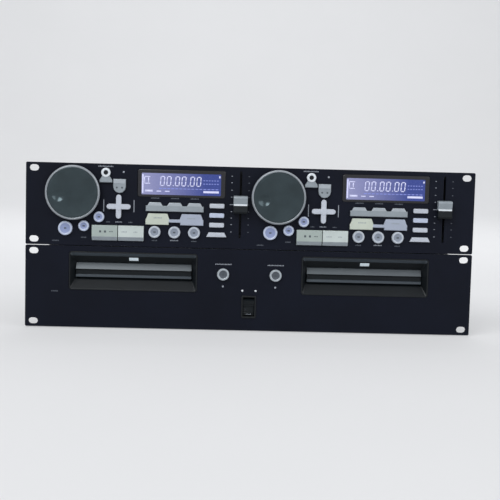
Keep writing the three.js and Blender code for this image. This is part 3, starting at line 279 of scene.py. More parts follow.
# A pale finish with a faint glow, used on the lamps over the power rocker; on the mode key's ring and the
# fader's line the glow is painted light
LAMP_AND_PAINTED_GLOW = surface("white_lamp_and_painted_glow", tone(208, 214, 220), roughness=0.28, contrast=0.05, patch=300, bump=0.02,
               glow=0.1)
NYLON = surface("natural_nylon", tone(222, 218, 205), roughness=0.5, contrast=0.05, patch=80, bump=0.1)
RUBBER = surface("black_rubber", tone(30, 30, 31), roughness=0.8, contrast=0.12, grain=2400, bump=0.4)
RED = surface("red_jack_ring", tone(176, 40, 36), roughness=0.4, contrast=0.08, patch=120, bump=0.06)
LENS = surface("violet_lens", tone(70, 60, 130), roughness=0.08, contrast=0.1, patch=300, bump=0.01,
               coat=0.8)


# Shapes: a bmesh in millimetres, drawn about the panel's front with depth along Y

def soften(shape, edges, width, segments=3):
    bmesh.ops.bevel(shape, geom=edges, offset=width, offset_type="OFFSET", affect="EDGES", segments=segments,
                    profile=0.5, material=-1, clamp_overlap=True)


def sharp_edges(shape):
    return [edge for edge in shape.edges if edge.is_manifold and edge.calc_face_angle() > SHARP_ANGLE]


def turned(profile, steps):
    """A round shape: a profile of (radius, depth) spun about the depth axis."""
    shape = bmesh.new()
    verts = [shape.verts.new((radius, depth, 0)) for radius, depth in profile]
    edges = [shape.edges.new(pair) for pair in zip(verts, verts[1:])]
    bmesh.ops.spin(shape, geom=verts + edges, cent=(0, 0, 0), axis=(0, 1, 0), angle=2 * math.pi, steps=steps,
                   use_merge=True)
    bmesh.ops.remove_doubles(shape, verts=shape.verts, dist=WELD)
    bmesh.ops.recalc_face_normals(shape, faces=shape.faces)
    return shape


def add_box(shape, x, z, width, height, back, front, lean=0):
    """Adds a box by the middle of its front; lean moves its top across."""
    made = bmesh.ops.create_cube(shape, size=1)["verts"]
    bmesh.ops.scale(shape, vec=(width, back - front, height), verts=made)
    for vert in made:
        vert.co.x += lean * vert.co.z
    bmesh.ops.translate(shape, vec=(x, (front + back) / 2, z), verts=made)


def rounded_box(width, height, back, front, rounding):
    shape = bmesh.new()
    add_box(shape, 0, 0, width, height, back, front)
    soften(shape, sharp_edges(shape), rounding)
    return shape


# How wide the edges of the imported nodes' copies are rounded

ROUNDING = {"cue_point_strip": 0.35, "loop_strip": 0.5, "side_key_bank": 0.4, "cue_key": 0.4,
            "play_key": 0.4, "mode_key": 0.3, "shift_key": 0.35, "search_pad": 0.45, "pitch_fader": 0.3,
            "display": 0.15, "disc_tray": 0.25, "tray_surround": 0.3, "tray_front": 0.35,
            "power_rocker": 0.2, "power_switch_body": 0.25, "panel": 0.4, "controller_case": 0.3,
            "chassis_cover": 0.35}


def copied(node, width, segments=2, cuts=()):
    """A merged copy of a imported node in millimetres, with its edges rounded where a width is given.

    Its faces are parted where a cut, an axis and a place along it, crosses them.
    """
    source = frame["nodes"][node].data.copy()
    if source.has_custom_normals:
        source.attributes.remove(source.attributes["custom_normal"])
    shape = bmesh.new()
    shape.from_mesh(source)
    bpy.data.meshes.remove(source)
    bmesh.ops.scale(shape, vec=(1 / MM,) * 3, verts=shape.verts)
    bmesh.ops.remove_doubles(shape, verts=shape.verts, dist=MERGE)
    if width:
        bmesh.ops.dissolve_limit(shape, angle_limit=FLAT_ANGLE, verts=shape.verts, edges=shape.edges)
        soften(shape, sharp_edges(shape), width, segments)
    for axis, place in cuts:
        bmesh.ops.bisect_plane(shape, geom=shape.verts[:] + shape.edges[:] + shape.faces[:],
                               plane_co=axis * place, plane_no=axis, dist=WELD)
    return shape


def gathered(make, places, turn=Matrix.Identity(4)):
    """Copies of one shape, turned alike and each set in its place, as one shape."""
    whole = bmesh.new()
    for place in places:
        single = make()
        bmesh.ops.transform(single, matrix=Matrix.Translation(place) @ turn, verts=single.verts)
        mesh = bpy.data.meshes.new("copy")
        single.to_mesh(mesh)
        single.free()
        whole.from_mesh(mesh)
        bpy.data.meshes.remove(mesh)
    return whole


def piece(name, shape, body, slot, *materials, place=(0, 0, 0), replaces=None, sharp=40, pick=None):
    """Finishes a shape: its place, materials by face, metres, and the body it rides on.

    Small faces are shaded smooth up to the sharp angle, and wide ones stay flat.
    """
    bmesh.ops.translate(shape, vec=place, verts=shape.verts)
    if pick:
        shape.normal_update()
        for face in shape.faces:
            face.material_index = pick(face.calc_center_median(), face.normal)
    bmesh.ops.scale(shape, vec=(MM,) * 3, verts=shape.verts)
    mesh = bpy.data.meshes.new(name)
    shape.to_mesh(mesh)
    shape.free()
    mesh.set_sharp_from_angle(angle=math.radians(sharp))
    for polygon in mesh.polygons:
        polygon.use_smooth = polygon.area < FLAT_AREA * MM ** 2
    for material in materials:
        mesh.materials.append(material)
    made = bpy.data.objects.new(name, mesh)
    bpy.context.scene.collection.objects.link(made)
    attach(made, body)
    if replaces:
        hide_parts(replaces)


# Jog wheel: a dished disc with a finger dimple, in a thin bright rim, on a dark skirt

JOG = {"height": 9, "skirt": 6.4, "edge": 1.1, "ring": 2.2, "groove": 0.8, "dish": 1.9, "centre": 0.5,
       "shaft": 3, "shaft_end": 12.4, "dimple": 6.4, "dimple_depth": 2, "dimple_x": -15.2,
       "dimple_drop": 3.6, "gap": 0.8, "lip": 0.4, "rings": 28, "steps": 144}


def jog_wheel(side):
    node = f"jog_wheel_{side}"
    body = f"jog_{side}"
    low, high = node_box(node)
    radius = (high.x - low.x) / 2
    rim = radius - JOG["ring"]
    dish = rim - JOG["groove"]
    bowl = []
    for number in range(JOG["rings"] + 1):
        share = number / JOG["rings"]
        bowl.append((dish * share, JOG["dish"] * (1 - share ** 2) + JOG["centre"] - JOG["height"]))
    shape = turned(bowl + [
        (rim, JOG["groove"] - JOG["height"]), (rim, -JOG["skirt"]), (radius - JOG["edge"], -JOG["edge"]),
        (JOG["shaft"], -JOG["edge"]), (JOG["shaft"], JOG["shaft_end"]), (0, JOG["shaft_end"])], JOG["steps"])
    for vert in shape.verts:
        reach = math.hypot(vert.co.x - JOG["dimple_x"], vert.co.z + JOG["dimple_drop"]) / JOG["dimple"]
        if vert.co.y < -JOG["skirt"] and reach < 1:
            vert.co.y += JOG["dimple_depth"] * (1 - reach ** 2)
    spot = middle(node)
    place = (spot.x, FRONT, spot.z)
    piece(f"jog_dish_{side}", shape, body, "jog_plastic", DISH, place=place, replaces=node)
    inner = rim + WELD
    foot = JOG["lip"] - JOG["skirt"]
    ring = turned([
        (inner, foot), (inner, JOG["lip"] - JOG["height"]), (inner + JOG["lip"], -JOG["height"]),
        (radius - JOG["edge"], -JOG["height"]), (radius, JOG["edge"] - JOG["height"]), (radius, foot),
        (inner, foot)], JOG["steps"])
    soften(ring, sharp_edges(ring), JOG["lip"] / 2)
    piece(f"jog_rim_{side}", ring, body, "silver_front", BRIGHT, place=place)
    skirt = turned([
        (rim, foot), (radius, foot), (radius - JOG["lip"], -2 * JOG["gap"]),
        (radius - JOG["edge"], -JOG["gap"]), (rim, -JOG["gap"]), (rim, foot)], JOG["steps"])
    piece(f"jog_skirt_{side}", skirt, body, "jog_plastic", TRAY_BLACK, place=place)


# Round keys: a cap with a dished middle and a small dark mark

ROUND_KEY = {"proud": 3.2, "rim": 1.6, "dish": 0.9, "edge": 0.5, "flange": 0.9, "seat": 3.3, "back": 4.5,
             "soft": 0.18, "mark": 2.6, "mark_height": 0.8, "steps": 64}
DISH_SHARES = {"floor": 0.8, "brim": 0.35}


def round_key(node, body, slot, rim_material, dish_material, mark=ROUND_KEY["mark"]):
    low, high = node_box(node)
    flange = (high.x - low.x) / 2
    radius = flange - ROUND_KEY["flange"]
    inner = radius - ROUND_KEY["rim"]
    seat, back = ROUND_KEY["seat"], ROUND_KEY["back"]
    front, edge, dish = -ROUND_KEY["proud"], ROUND_KEY["edge"], ROUND_KEY["dish"]
    shape = turned([
        (0, front + dish), (inner / 2, front + DISH_SHARES["floor"] * dish),
        (inner - edge, front + DISH_SHARES["brim"] * dish), (inner, front), (radius - edge, front),
        (radius, front + edge), (radius, seat), (flange, seat), (flange, back), (0, back)],
        ROUND_KEY["steps"])
    soften(shape, sharp_edges(shape), ROUND_KEY["soft"])
    spot = (low + high) / 2
    place = (spot.x, FRONT, spot.z)

    def by_radius(centre, normal):
        return int(math.hypot(centre.x - spot.x, centre.z - spot.z) < inner - edge and normal.y < 0)

    piece(node + "_cap", shape, body, slot, rim_material, dish_material, place=place, replaces=node,
          pick=by_radius)
    label = bmesh.new()
    add_box(label, 0, 0, mark, ROUND_KEY["mark_height"], dish, -HAIR)
    for across in (-mark / 4, mark / 4):
        add_box(label, across, 0, mark / 3, 2 * ROUND_KEY["mark_height"], dish, -2 * HAIR)
    face = FRONT + front + DISH_SHARES["floor"] * dish
    piece(node + "_mark", label, body, slot, DARK_PRINT, place=(spot.x, face, spot.z), sharp=30)


# Flat keys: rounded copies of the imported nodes, coloured by where their faces lie

FLAT_KEYS = {"strip_crown": 3.4, "lime_end": 6, "bank_start": 47.5, "bank_end": 57.5, "bevel_facing": -0.3}


def flat_keys(side):
    crown_foot = node_box(f"cue_point_strip_{side}")[1].z - FLAT_KEYS["strip_crown"]
    lime_end = middle(f"loop_strip_{side}").x - FLAT_KEYS["lime_end"]

    def strip_tint(centre, normal):
        return int(centre.z < crown_foot)

    def loop_tint(centre, normal):
        return int(centre.x > lime_end)

    def bank_tint(centre, normal):
        return int(FLAT_KEYS["bank_start"] < CONTROLLER_TOP - centre.z < FLAT_KEYS["bank_end"])

    # Faces of the cue and play keys that face down get the grey finish: painted shade on their lower bevels
    def shaded_bevel(centre, normal):
        return int(normal.z < FLAT_KEYS["bevel_facing"])

    for name, slot, materials, cuts, pick in (
            ("cue_point_strip", "grey_key", (SILVER, GREY), [(UP, crown_foot)], strip_tint),
            ("loop_strip", "pale_green_key", (LIME, BLUISH), [(ACROSS, lime_end)], loop_tint),
            ("side_key_bank", "white_key", (WHITE, LAVENDER), (), bank_tint),
            ("cue_key", "pale_green_key", (SAGE, GREY), (), shaded_bevel),
            ("play_key", "white_key", (IVORY, GREY), (), shaded_bevel),
            ("mode_key", "grey_key", (GREY,), (), None),
            ("shift_key", "grey_key", (GREY,), (), None),
            ("search_pad", "white_key", (WHITE,), (), None)):
        node = f"{name}_{side}"
        shape = copied(node, ROUNDING[name], cuts=cuts)
        piece(node + "_cap", shape, node, slot, *materials, replaces=node, pick=pick)


# Prints on the faces of the flat keys, which move with them

LABEL = {"height": 1, "pitch": 1.5, "letter": 0.95, "rise_share": 0.25}
CUE_PRINT = {"dot": 2.2, "dot_offset": 2.6, "label_x": 9, "letters": 3, "shift": -2}
PLAY_WORDS = ({"x": -7, "letters": 4}, {"x": 5, "letters": 3})
LOOP_PRINT = {"offset": 18, "letters": 6, "down": 4.6}
BIG_KEY_PRINT_DOWN = 72.5


def add_label(shape, x, z, letters, back=SINK):
    """Adds a row of small blocks, which stands for a word without spelling one."""
    for number in range(letters):
        across = (number - (letters - 1) / 2) * LABEL["pitch"]
        rise = LABEL["rise_share"] * LABEL["height"] * (number % 2)
        add_box(shape, x + across, z + rise / 2, LABEL["letter"], LABEL["height"] + rise, back, -HAIR)


def key_prints(side):
    cue, play, loop = f"cue_key_{side}", f"play_key_{side}", f"loop_strip_{side}"
    level = CONTROLLER_TOP - BIG_KEY_PRINT_DOWN
    label = bmesh.new()
    for sign in SIDES.values():
        add_box(label, sign * CUE_PRINT["dot_offset"], 0, CUE_PRINT["dot"], CUE_PRINT["dot"], ROOT, -HAIR)
    add_label(label, CUE_PRINT["label_x"], 0, CUE_PRINT["letters"], back=ROOT)
    place = (middle(cue).x + CUE_PRINT["shift"], node_box(cue)[0].y, level)
    piece(f"cue_print_{side}", label, cue, "black_plastic", DARK_PRINT, place=place, sharp=30)
    label = bmesh.new()
    for word in PLAY_WORDS:
        add_label(label, word["x"], 0, word["letters"], back=ROOT)
    place = (middle(play).x, node_box(play)[0].y, level)
    piece(f"play_print_{side}", label, play, "black_plastic", GREY, place=place, sharp=30)
    label = bmesh.new()
    for sign in SIDES.values():
        add_label(label, sign * LOOP_PRINT["offset"], 0, LOOP_PRINT["letters"], back=ROOT)
    low, high = node_box(loop)
    place = (middle(loop).x, low.y, high.z - LOOP_PRINT["down"])
    piece(f"loop_print_{side}", label, loop, "black_plastic", GREY, place=place, sharp=30)


# Mode key: a bright ring with a painted glow, round a dark core. Shift key: a pale band above two dark dots

MODE = {"ring": 4.9, "core": 2.5, "proud": 0.8, "down": 9.4, "inner_slope": 0.4, "outer_slope": 0.5,
        "ring_steps": 56, "core_gap": 0.1, "core_slope": 0.4, "core_proud": 0.4, "core_steps": 40}
SHIFT = {"width": 12.6, "height": 4.4, "band_root": 0.2, "band_proud": 0.35, "band_round": 0.25,
         "band_down": 18.6, "dot_down": 25.2, "dot_offset": 2.8, "dot": 1.1, "dot_proud": 0.15,
         "dot_slope": 0.2, "dot_steps": 24}


def mode_ring(side):
    body = f"mode_key_{side}"
    place = (middle(body).x, node_box(body)[0].y, CONTROLLER_TOP - MODE["down"])
    inner, outer, front = MODE["core"], MODE["ring"], -MODE["proud"]
    ring = turned([
        (inner, ROOT), (inner, front / 2), (inner + MODE["inner_slope"], front),
        (outer - MODE["outer_slope"], front), (outer, front / 2), (outer, ROOT), (inner, ROOT)],
        MODE["ring_steps"])
    piece(f"mode_ring_{side}", ring, body, "silver_front", LAMP_AND_PAINTED_GLOW, place=place)
    radius = inner - MODE["core_gap"]
    face = -MODE["core_proud"]
    profile = [(0, face), (radius - MODE["core_slope"], face), (radius, ROOT), (0, ROOT)]
    core = turned(profile, MODE["core_steps"])
    piece(f"mode_core_{side}", core, body, "black_plastic", BLACK, place=place)


def shift_marks(side):
    body = f"shift_key_{side}"
    across = middle(body).x
    front = node_box(body)[0].y
    band = rounded_box(SHIFT["width"], SHIFT["height"], SHIFT["band_root"], -SHIFT["band_proud"],
                       SHIFT["band_round"])
    piece(f"shift_band_{side}", band, body, "white_key", SILVER,
          place=(across, front, CONTROLLER_TOP - SHIFT["band_down"]))
    face = -SHIFT["dot_proud"]
    profile = [(0, face), (SHIFT["dot"] - SHIFT["dot_slope"], face), (SHIFT["dot"], ROOT), (0, ROOT)]
    places = [(across + sign * SHIFT["dot_offset"], front, CONTROLLER_TOP - SHIFT["dot_down"])
              for sign in SIDES.values()]
    dots = gathered(lambda: turned(profile, SHIFT["dot_steps"]), places)
    piece(f"shift_dots_{side}", dots, body, "black_plastic", DARK_PRINT)


# Fader cap: a grey upper slope, a lower slope coloured dark as painted shade, and a pale line across its
# waist that glows as painted light

FADER = {"line_width": 14.4, "line_height": 1.8, "line_depth": 7.25, "line_proud": 0.3, "line_round": 0.12}


def fader_cap(side):
    node = f"pitch_fader_{side}"
    body = f"fader_{side}"
    spot = middle(node)

    # The cap's lower half gets the dark finish: painted shade, as from light falling from above
    def shade_lower_slope(centre, normal):
        return int(centre.z < spot.z)

    cap = copied(node, ROUNDING["pitch_fader"], cuts=[(UP, spot.z)])
    piece(node + "_cap", cap, body, "fader_silver", GREY, TRAY_BLACK, replaces=node, pick=shade_lower_slope)
    line = rounded_box(FADER["line_width"], FADER["line_height"], FADER["line_proud"], -FADER["line_proud"],
                       FADER["line_round"])
    piece(node + "_line", line, body, "white_key", LAMP_AND_PAINTED_GLOW, place=(spot.x, FRONT - FADER["line_depth"], spot.z))


# Display: a black window, a lit field and its figures

DIGIT_BARS = ((0, 1, 0), (1, 0.5, 1), (1, -0.5, 1), (0, -1, 0), (-1, -0.5, 1), (-1, 0.5, 1))
DIGIT = {"width": 4, "height": 9.6, "stroke": 1.1, "corner_share": 0.9, "lean": 0.08, "pitch": 6.9,
         "pair_gap": 2.2, "start": -20.2, "rise": 3.2, "count": 6, "dot": 1.1, "dot_back": 4.5,
         "dot_drop": 1.5}
FIELD_BARS = ((-41.3, 0, 1.6, 20), (-36.6, 7.6, 6.4, 1), (-36.6, 0.4, 6.4, 1), (-39.4, 4, 1, 7),
              (-35.2, 4, 1.2, 5), (-34.6, -7.6, 8.4, 2.2), (32, -7.6, 16.6, 2.2), (-24, -7.8, 5, 1.2),
              (-15, -7.8, 5, 1.2), (41, 8.6, 1.6, 2.2))
DIM_ROWS = ({"start": 24.5, "pitch": 2.9, "count": 6, "rise": 4.6, "width": 1.8, "height": 1},
            {"start": 24.5, "pitch": 2.9, "count": 6, "rise": 1, "width": 1.8, "height": 1},
            {"start": -22, "pitch": 4.3, "count": 15, "rise": -4.8, "width": 3.2, "height": 1})


def add_zero(shape, x, z, back, front):
    """Adds the six bars of a segment zero."""
    stroke = DIGIT["stroke"]
    for across, up, upright in DIGIT_BARS:
        lean = DIGIT["lean"] * up * DIGIT["height"] / 2
        width = stroke if upright else DIGIT["width"] - DIGIT["corner_share"] * stroke
        height = (DIGIT["height"] - stroke) / 2 if upright else stroke
        add_box(shape, x + across * DIGIT["width"] / 2 + lean, z + up * DIGIT["height"] / 2, width, height,
                back, front, lean=DIGIT["lean"] * upright)


def display_figures(back, front):
    figures = bmesh.new()
    for digit in range(DIGIT["count"]):
        across = DIGIT["start"] + DIGIT["pitch"] * digit + DIGIT["pair_gap"] * (digit // 2)
        add_zero(figures, across, DIGIT["rise"], back, front)
    for pair in range(1, DIGIT["count"] // 2):
        across = DIGIT["start"] + (2 * DIGIT["pitch"] + DIGIT["pair_gap"]) * pair - DIGIT["dot_back"]
        add_box(figures, across, -DIGIT["dot_drop"], DIGIT["dot"], DIGIT["dot"], back, front)
    for x, z, width, height in FIELD_BARS:
        add_box(figures, x, z, width, height, back, front)
    return figures


def display(side):
    node = f"display_{side}"
    pane = copied(node, ROUNDING["display"])
    piece(node + "_window", pane, "root", "display_window", GLASS, replaces=node)
    window = node_box(node)[0].y - FRONT
    field = bmesh.new()
    add_box(field, 0, 0, DISPLAY["field_width"], DISPLAY["field_height"], window + ROOT, window - HAIR)
    upright = [edge for edge in field.edges if abs(edge.verts[0].co.y - edge.verts[1].co.y) > HAIR]
    soften(field, upright, DISPLAY["corner"])
    place = on_deck(side, DISPLAY["field_x"], DISPLAY["field_down"])
    piece(node + "_field", field, "root", "display_window", LIT, place=place)
    back, front = window, window - 2 * HAIR
    figures = display_figures(back, front)
    piece(node + "_figures", figures, "root", "display_window", SEGMENT, place=place, sharp=30)
    dim = bmesh.new()
    for row in DIM_ROWS:
        for column in range(row["count"]):
            across = row["start"] + row["pitch"] * column
            add_box(dim, across, row["rise"], row["width"], row["height"], back, front)
    piece(node + "_dim_figures", dim, "root", "display_window", DIM_SEGMENT, place=place, sharp=30)


# Small fixed prints and lamps of one deck

SCALE_DOWNS = (10, 17, 25, 32.5, 40.5, 48, 55, 62, 70)
SCALE = {"x": 220.2, "right_x": 238.6, "width": 1.4, "height": 0.7, "pointer": 4.2, "middle": 40.5}
PAD_BRACKETS = {"x": 99.4, "offset": 16.2, "down": 44.8, "width": 0.8, "height": 13}
PALE_LABELS = ((84.9, 2.9, 11), (99.4, 62.2, 5), (159.3, 80.8, 6))
FAINT_LABELS = ((138.1, 35.6, 6), (159.3, 35.6, 6), (180.5, 35.6, 6), (138.1, 81.2, 4), (180.5, 81.2, 4),
                (88, 62.4, 3), (112, 62.4, 3), (32, 83.6, 5), (62, 79.6, 4))
LAMP_PROFILE = [(0, -0.9), (0.7, -0.75), (1.1, -0.3), (1.1, 0.3), (0, 0.3)]
LAMP_STEPS = 24
DECK_LAMP = {"x": 104, "down": 8.5}


def small_lamp(name, material, place):
    piece(name, turned(LAMP_PROFILE, LAMP_STEPS), "root", "white_key", material, place=place)


def deck_marks(side):
    pale = bmesh.new()
    faint = bmesh.new()
    for down in SCALE_DOWNS:
        add_box(pale, SCALE["x"], -down, SCALE["width"], SCALE["height"], SINK, -HAIR)
        add_box(faint, SCALE["right_x"], -down, SCALE["width"], SCALE["height"], SINK, -HAIR)
    add_box(pale, SCALE["x"], -SCALE["middle"], SCALE["pointer"], SCALE["height"], SINK, -2 * HAIR)
    for sign in SIDES.values():
        add_box(pale, PAD_BRACKETS["x"] + sign * PAD_BRACKETS["offset"], -PAD_BRACKETS["down"],
                PAD_BRACKETS["width"], PAD_BRACKETS["height"], SINK, -HAIR)
    for shape, labels in ((pale, PALE_LABELS), (faint, FAINT_LABELS)):
        for x, down, letters in labels:
            add_label(shape, x, -down, letters)
    place = on_deck(side, 0, 0)
    piece(f"deck_marks_{side}", pale, "root", "white_key", MARK, place=place, sharp=30)
    piece(f"deck_faint_marks_{side}", faint, "root", "white_key", FAINT, place=place, sharp=30)
    small_lamp(f"deck_lamp_{side}", MARK, on_deck(side, DECK_LAMP["x"], DECK_LAMP["down"]))


# Disc drive seen from the front: tray, surround, tray front and the badge above it, which glows as painted
# light

TRAY_FRONT = {"bevel": 0.5, "bevel_facing": 0.2, "lip": 4.4, "foot": 6.6}
SURROUND = {"rim": 1.2, "flange": 2, "window": 17, "depth": 10.5, "edge": 3.4, "edge_facing": -0.3}
BADGE = {"width": 10, "height": 4.6, "root": 0.2, "proud": 0.35, "round": 0.2, "down": 13.7}


def drive_front(side):
    body = f"tray_{side}"
    tray = f"disc_tray_{side}"
    bed = copied(tray, ROUNDING["disc_tray"])
    piece(tray + "_bed", bed, body, "tray_plastic", TRAY_BLACK, replaces=tray, sharp=30)
    surround = f"tray_surround_{side}"
    low, high = node_box(surround)
    centre_x, centre_z = middle(surround).x, middle(surround).z
    mouth = (high.z - low.z) / 2 - SURROUND["rim"] - SURROUND["flange"]
    edge_foot = centre_z + mouth - SURROUND["edge"]

    # The surround's upper slope faces down, yet it gets the lighter charcoal: a painted highlight
    def lit_upper_slope(centre, normal):
        slope = centre.y < FRONT + SURROUND["depth"] - HAIR and normal.z < SURROUND["edge_facing"]
        return int(centre.z > edge_foot and slope and normal.y < 0)

    shell = copied(surround, ROUNDING["tray_surround"], cuts=[(UP, edge_foot)])
    piece(surround + "_shell", shell, "root", "black_plastic", BLACK, CHARCOAL_HIGHLIGHT, replaces=surround,
          pick=lit_upper_slope)
    front = f"tray_front_{side}"
    spot = middle(front)

    # The tray front's up-facing top bevel gets satin grey and a band along its lower lip gets charcoal: both
    # are painted highlights where light catches the front, and the rest stays dark
    def highlight_bands(centre, normal):
        if normal.z > TRAY_FRONT["bevel_facing"] and centre.z > spot.z + TRAY_FRONT["bevel"]:
            return 1
        return 2 * int(-TRAY_FRONT["foot"] < centre.z - spot.z < -TRAY_FRONT["lip"])

    piece(front + "_panel", copied(front, ROUNDING["tray_front"]), body, "silver_front", TRAY_BLACK,
          BEVEL_HIGHLIGHT, CHARCOAL_HIGHLIGHT, replaces=front, pick=highlight_bands)
    fall = mouth - SURROUND["window"] / 2
    lean = Matrix.Rotation(math.atan2(SURROUND["depth"], fall), 4, "X")
    badge = rounded_box(BADGE["width"], BADGE["height"], BADGE["root"], -BADGE["proud"], BADGE["round"])
    bmesh.ops.transform(badge, matrix=lean, verts=badge.verts)
    across, depth, up = on_transport(centre_x, BADGE["down"])
    depth += SURROUND["depth"] * (centre_z + mouth - up) / fall
    piece(f"drive_badge_{side}", badge, "root", "white_key", BADGE_PAINTED_GLOW, place=(across, depth, up))


# Eject key with its print and lamp, and one of the two lamps over the power rocker

EJECT = {"mark": 1.6, "label_down": 16.4, "letters": 12, "lamp_down": 40.4}
SWITCH_LAMPS = {"offset": 7.2, "down": 44.6}


def eject_group(side, sign):
    eject = f"eject_key_{side}"
    round_key(eject, f"eject_{side}", "silver_front", SILVER, DIM_AND_SEAM_HIGHLIGHT, mark=EJECT["mark"])
    across = middle(eject).x
    label = bmesh.new()
    add_label(label, across, -EJECT["label_down"], EJECT["letters"])
    piece(f"drive_print_{side}", label, "root", "white_key", MARK, place=on_transport(0, 0), sharp=30)
    small_lamp(f"eject_lamp_{side}", MARK, on_transport(across, EJECT["lamp_down"]))
    place = on_transport(sign * SWITCH_LAMPS["offset"], SWITCH_LAMPS["down"])
    small_lamp(f"switch_lamp_{side}", LAMP_AND_PAINTED_GLOW, place)


# Small print at the left of the transport

UNIT_PRINT = {"x": 31.6, "down": 49.4, "letters": 5}


def unit_print():
    label = bmesh.new()
    add_label(label, PANEL_LOW.x + UNIT_PRINT["x"], -UNIT_PRINT["down"], UNIT_PRINT["letters"])
    piece("unit_print", label, "root", "white_key", FAINT, place=on_transport(0, 0), sharp=30)


# Power rocker: a paddle with a small print on its lower half, in its frame

ROCKER = {"mark_down": 70, "mark_root": 0.4, "letters": 4, "ray_start": 70}


def power_rocker():
    paddle = copied("power_rocker", ROUNDING["power_rocker"])
    level = TRANSPORT_TOP - ROCKER["mark_down"]
    outside = Vector((0, FRONT - ROCKER["ray_start"], level))
    face = BVHTree.FromBMesh(paddle).ray_cast(outside, DEPTH)[0]
    piece("power_rocker_paddle", paddle, "rocker", "black_plastic", TRAY_BLACK, replaces="power_rocker")
    label = bmesh.new()
    add_label(label, 0, 0, ROCKER["letters"], back=ROCKER["mark_root"])
    piece("power_rocker_mark", label, "rocker", "white_key", MARK, place=face, sharp=30)
    surround = copied("power_switch_body", ROUNDING["power_switch_body"])
    piece("power_switch_frame", surround, "root", "black_plastic", BLACK, replaces="power_switch_body")


# Panels, case and chassis: rounded edges, black sockets, rubber feet, and a painted highlight on the
# transport panel's top face

PANEL_SEGMENTS = 3
SEAM_HIGHLIGHT = {"facing": 0.9, "reach": 0.1}
CASE_SOCKET = {"offset": 24, "proud": 1, "depth": 12, "reach": 7}
FEET_DROP = 1.6


def housings():
    # The transport panel's top face, seen through the seam under the controller, gets the dim grey: a
    # painted highlight
    def painted_seam_highlight(centre, normal):
        return int(normal.z > SEAM_HIGHLIGHT["facing"] and abs(centre.z - TRANSPORT_TOP) < SEAM_HIGHLIGHT["reach"])

    for unit in ("controller", "transport"):
        node = f"{unit}_panel"
        plate = copied(node, ROUNDING["panel"], PANEL_SEGMENTS)
        piece(f"{unit}_front_plate", plate, "root", "panel_paint", PAINT, DIM_AND_SEAM_HIGHLIGHT, replaces=node, sharp=30,
              pick=painted_seam_highlight)

    def case_parts(centre, normal):
        reach = math.hypot(abs(centre.x) - CASE_SOCKET["offset"], centre.z - CASE_MIDDLE)
        behind = centre.y > CASE_HIGH.y - CASE_SOCKET["proud"] + HAIR
        return int(behind or reach < CASE_SOCKET["reach"] and centre.y > CASE_HIGH.y - CASE_SOCKET["depth"])

    piece("controller_case_shell", copied("controller_case", ROUNDING["controller_case"]), "root",
          "black_steel", POWDER, BLACK, replaces="controller_case", pick=case_parts, sharp=30)
    piece("chassis_cover_shell", copied("chassis_cover", ROUNDING["chassis_cover"]), "root", "black_steel",
          POWDER, replaces="chassis_cover", sharp=30)

    def base_parts(centre, normal):
        return int(centre.z < MAIN_BOARD_FOOT - FEET_DROP)

    piece("chassis_base_shell", copied("chassis_base", 0), "root", "zinc_steel", ZINC, RUBBER,
          replaces="chassis_base", pick=base_parts, sharp=30)


# Circuit boards with their parts: coloured by where each face lies

CONTROLLER_BOARD = {"thickness": 1.6, "pins": 5, "pin_facing": -0.5}
LOWER_BOARD = {"thickness": 1.7, "jack_end": -84, "jack_proud": 1.3}
SUPPLY = {"inlet": 30, "can_gap": 18, "can_back": 11, "blade_reach": 9, "blade_rise": 16, "blade_height": 6,
          "blade_start": 16.9, "blade_end": 2.9}


def controller_board():
    board_face = node_box("controller_board")[1].y - CONTROLLER_BOARD["thickness"]

    def parts(centre, normal):
        if centre.y > board_face - WELD:
            return 0
        pin = normal.y > CONTROLLER_BOARD["pin_facing"] and centre.y > board_face - CONTROLLER_BOARD["pins"]
        return 1 if pin else 2

    piece("controller_board_parts", copied("controller_board", 0), "root", "circuit_board", BOARD, ZINC,
          BLACK, replaces="controller_board", pick=parts, sharp=30)


def lower_boards():
    inlet = node_box("power_supply")[1].x - SUPPLY["inlet"]

    def board_or_stud(centre):
        """0 on a board, 3 on the studs below it, and nothing on the parts above it."""
        if centre.z < BOARD_TOP - LOWER_BOARD["thickness"]:
            return 3
        return 0 if centre.z < BOARD_TOP + WELD else None

    def main_parts(centre, normal):
        ground = board_or_stud(centre)
        if ground is not None:
            return ground
        jack = centre.x < LOWER_BOARD["jack_end"] and centre.y > REAR - LOWER_BOARD["jack_proud"]
        return 1 if jack else 2

    def supply_parts(centre, normal):
        ground = board_or_stud(centre)
        if ground is not None:
            return ground
        if centre.y < REAR - SUPPLY["can_back"] and centre.x < inlet - SUPPLY["can_gap"]:
            return 3
        rise = centre.z - BOARD_TOP - SUPPLY["blade_rise"]
        blade = abs(centre.x - inlet) < SUPPLY["blade_reach"] and abs(rise) < SUPPLY["blade_height"]
        return 1 if blade and REAR - SUPPLY["blade_start"] < centre.y < REAR - SUPPLY["blade_end"] else 2

    for node, pick in (("main_board", main_parts), ("power_supply", supply_parts)):
        piece(node + "_parts", copied(node, 0), "root", "circuit_board", BOARD, STEEL, BLACK, ZINC,
              replaces=node, pick=pick, sharp=30)


# Rear sockets: coloured rings round the jacks, and pins in the control sockets

JACK = {"first": -186, "pitch": 18, "count": 6, "rise": 6, "inner": 4.25, "outer": 5.9, "gap": 0.05,
        "depth": 1.6, "slope": 0.4, "steps": 40}
PIN = {"radius": 0.4, "length": 4.5, "tip": 0.3, "circle": 3, "count": 8, "steps": 12}
TRANSPORT_PINS = {"places": (-60, -36), "depth": 6, "rise": 7}
CONTROLLER_PINS = {"depth": 7, "rise": 0.8}


def jack_ring():
    inner, outer, gap, depth, slope = (JACK[key] for key in ("inner", "outer", "gap", "depth", "slope"))
    return turned([(inner, gap), (outer, gap), (outer, depth - slope), (outer - slope, depth),
                   (inner, depth), (inner, gap)], JACK["steps"])


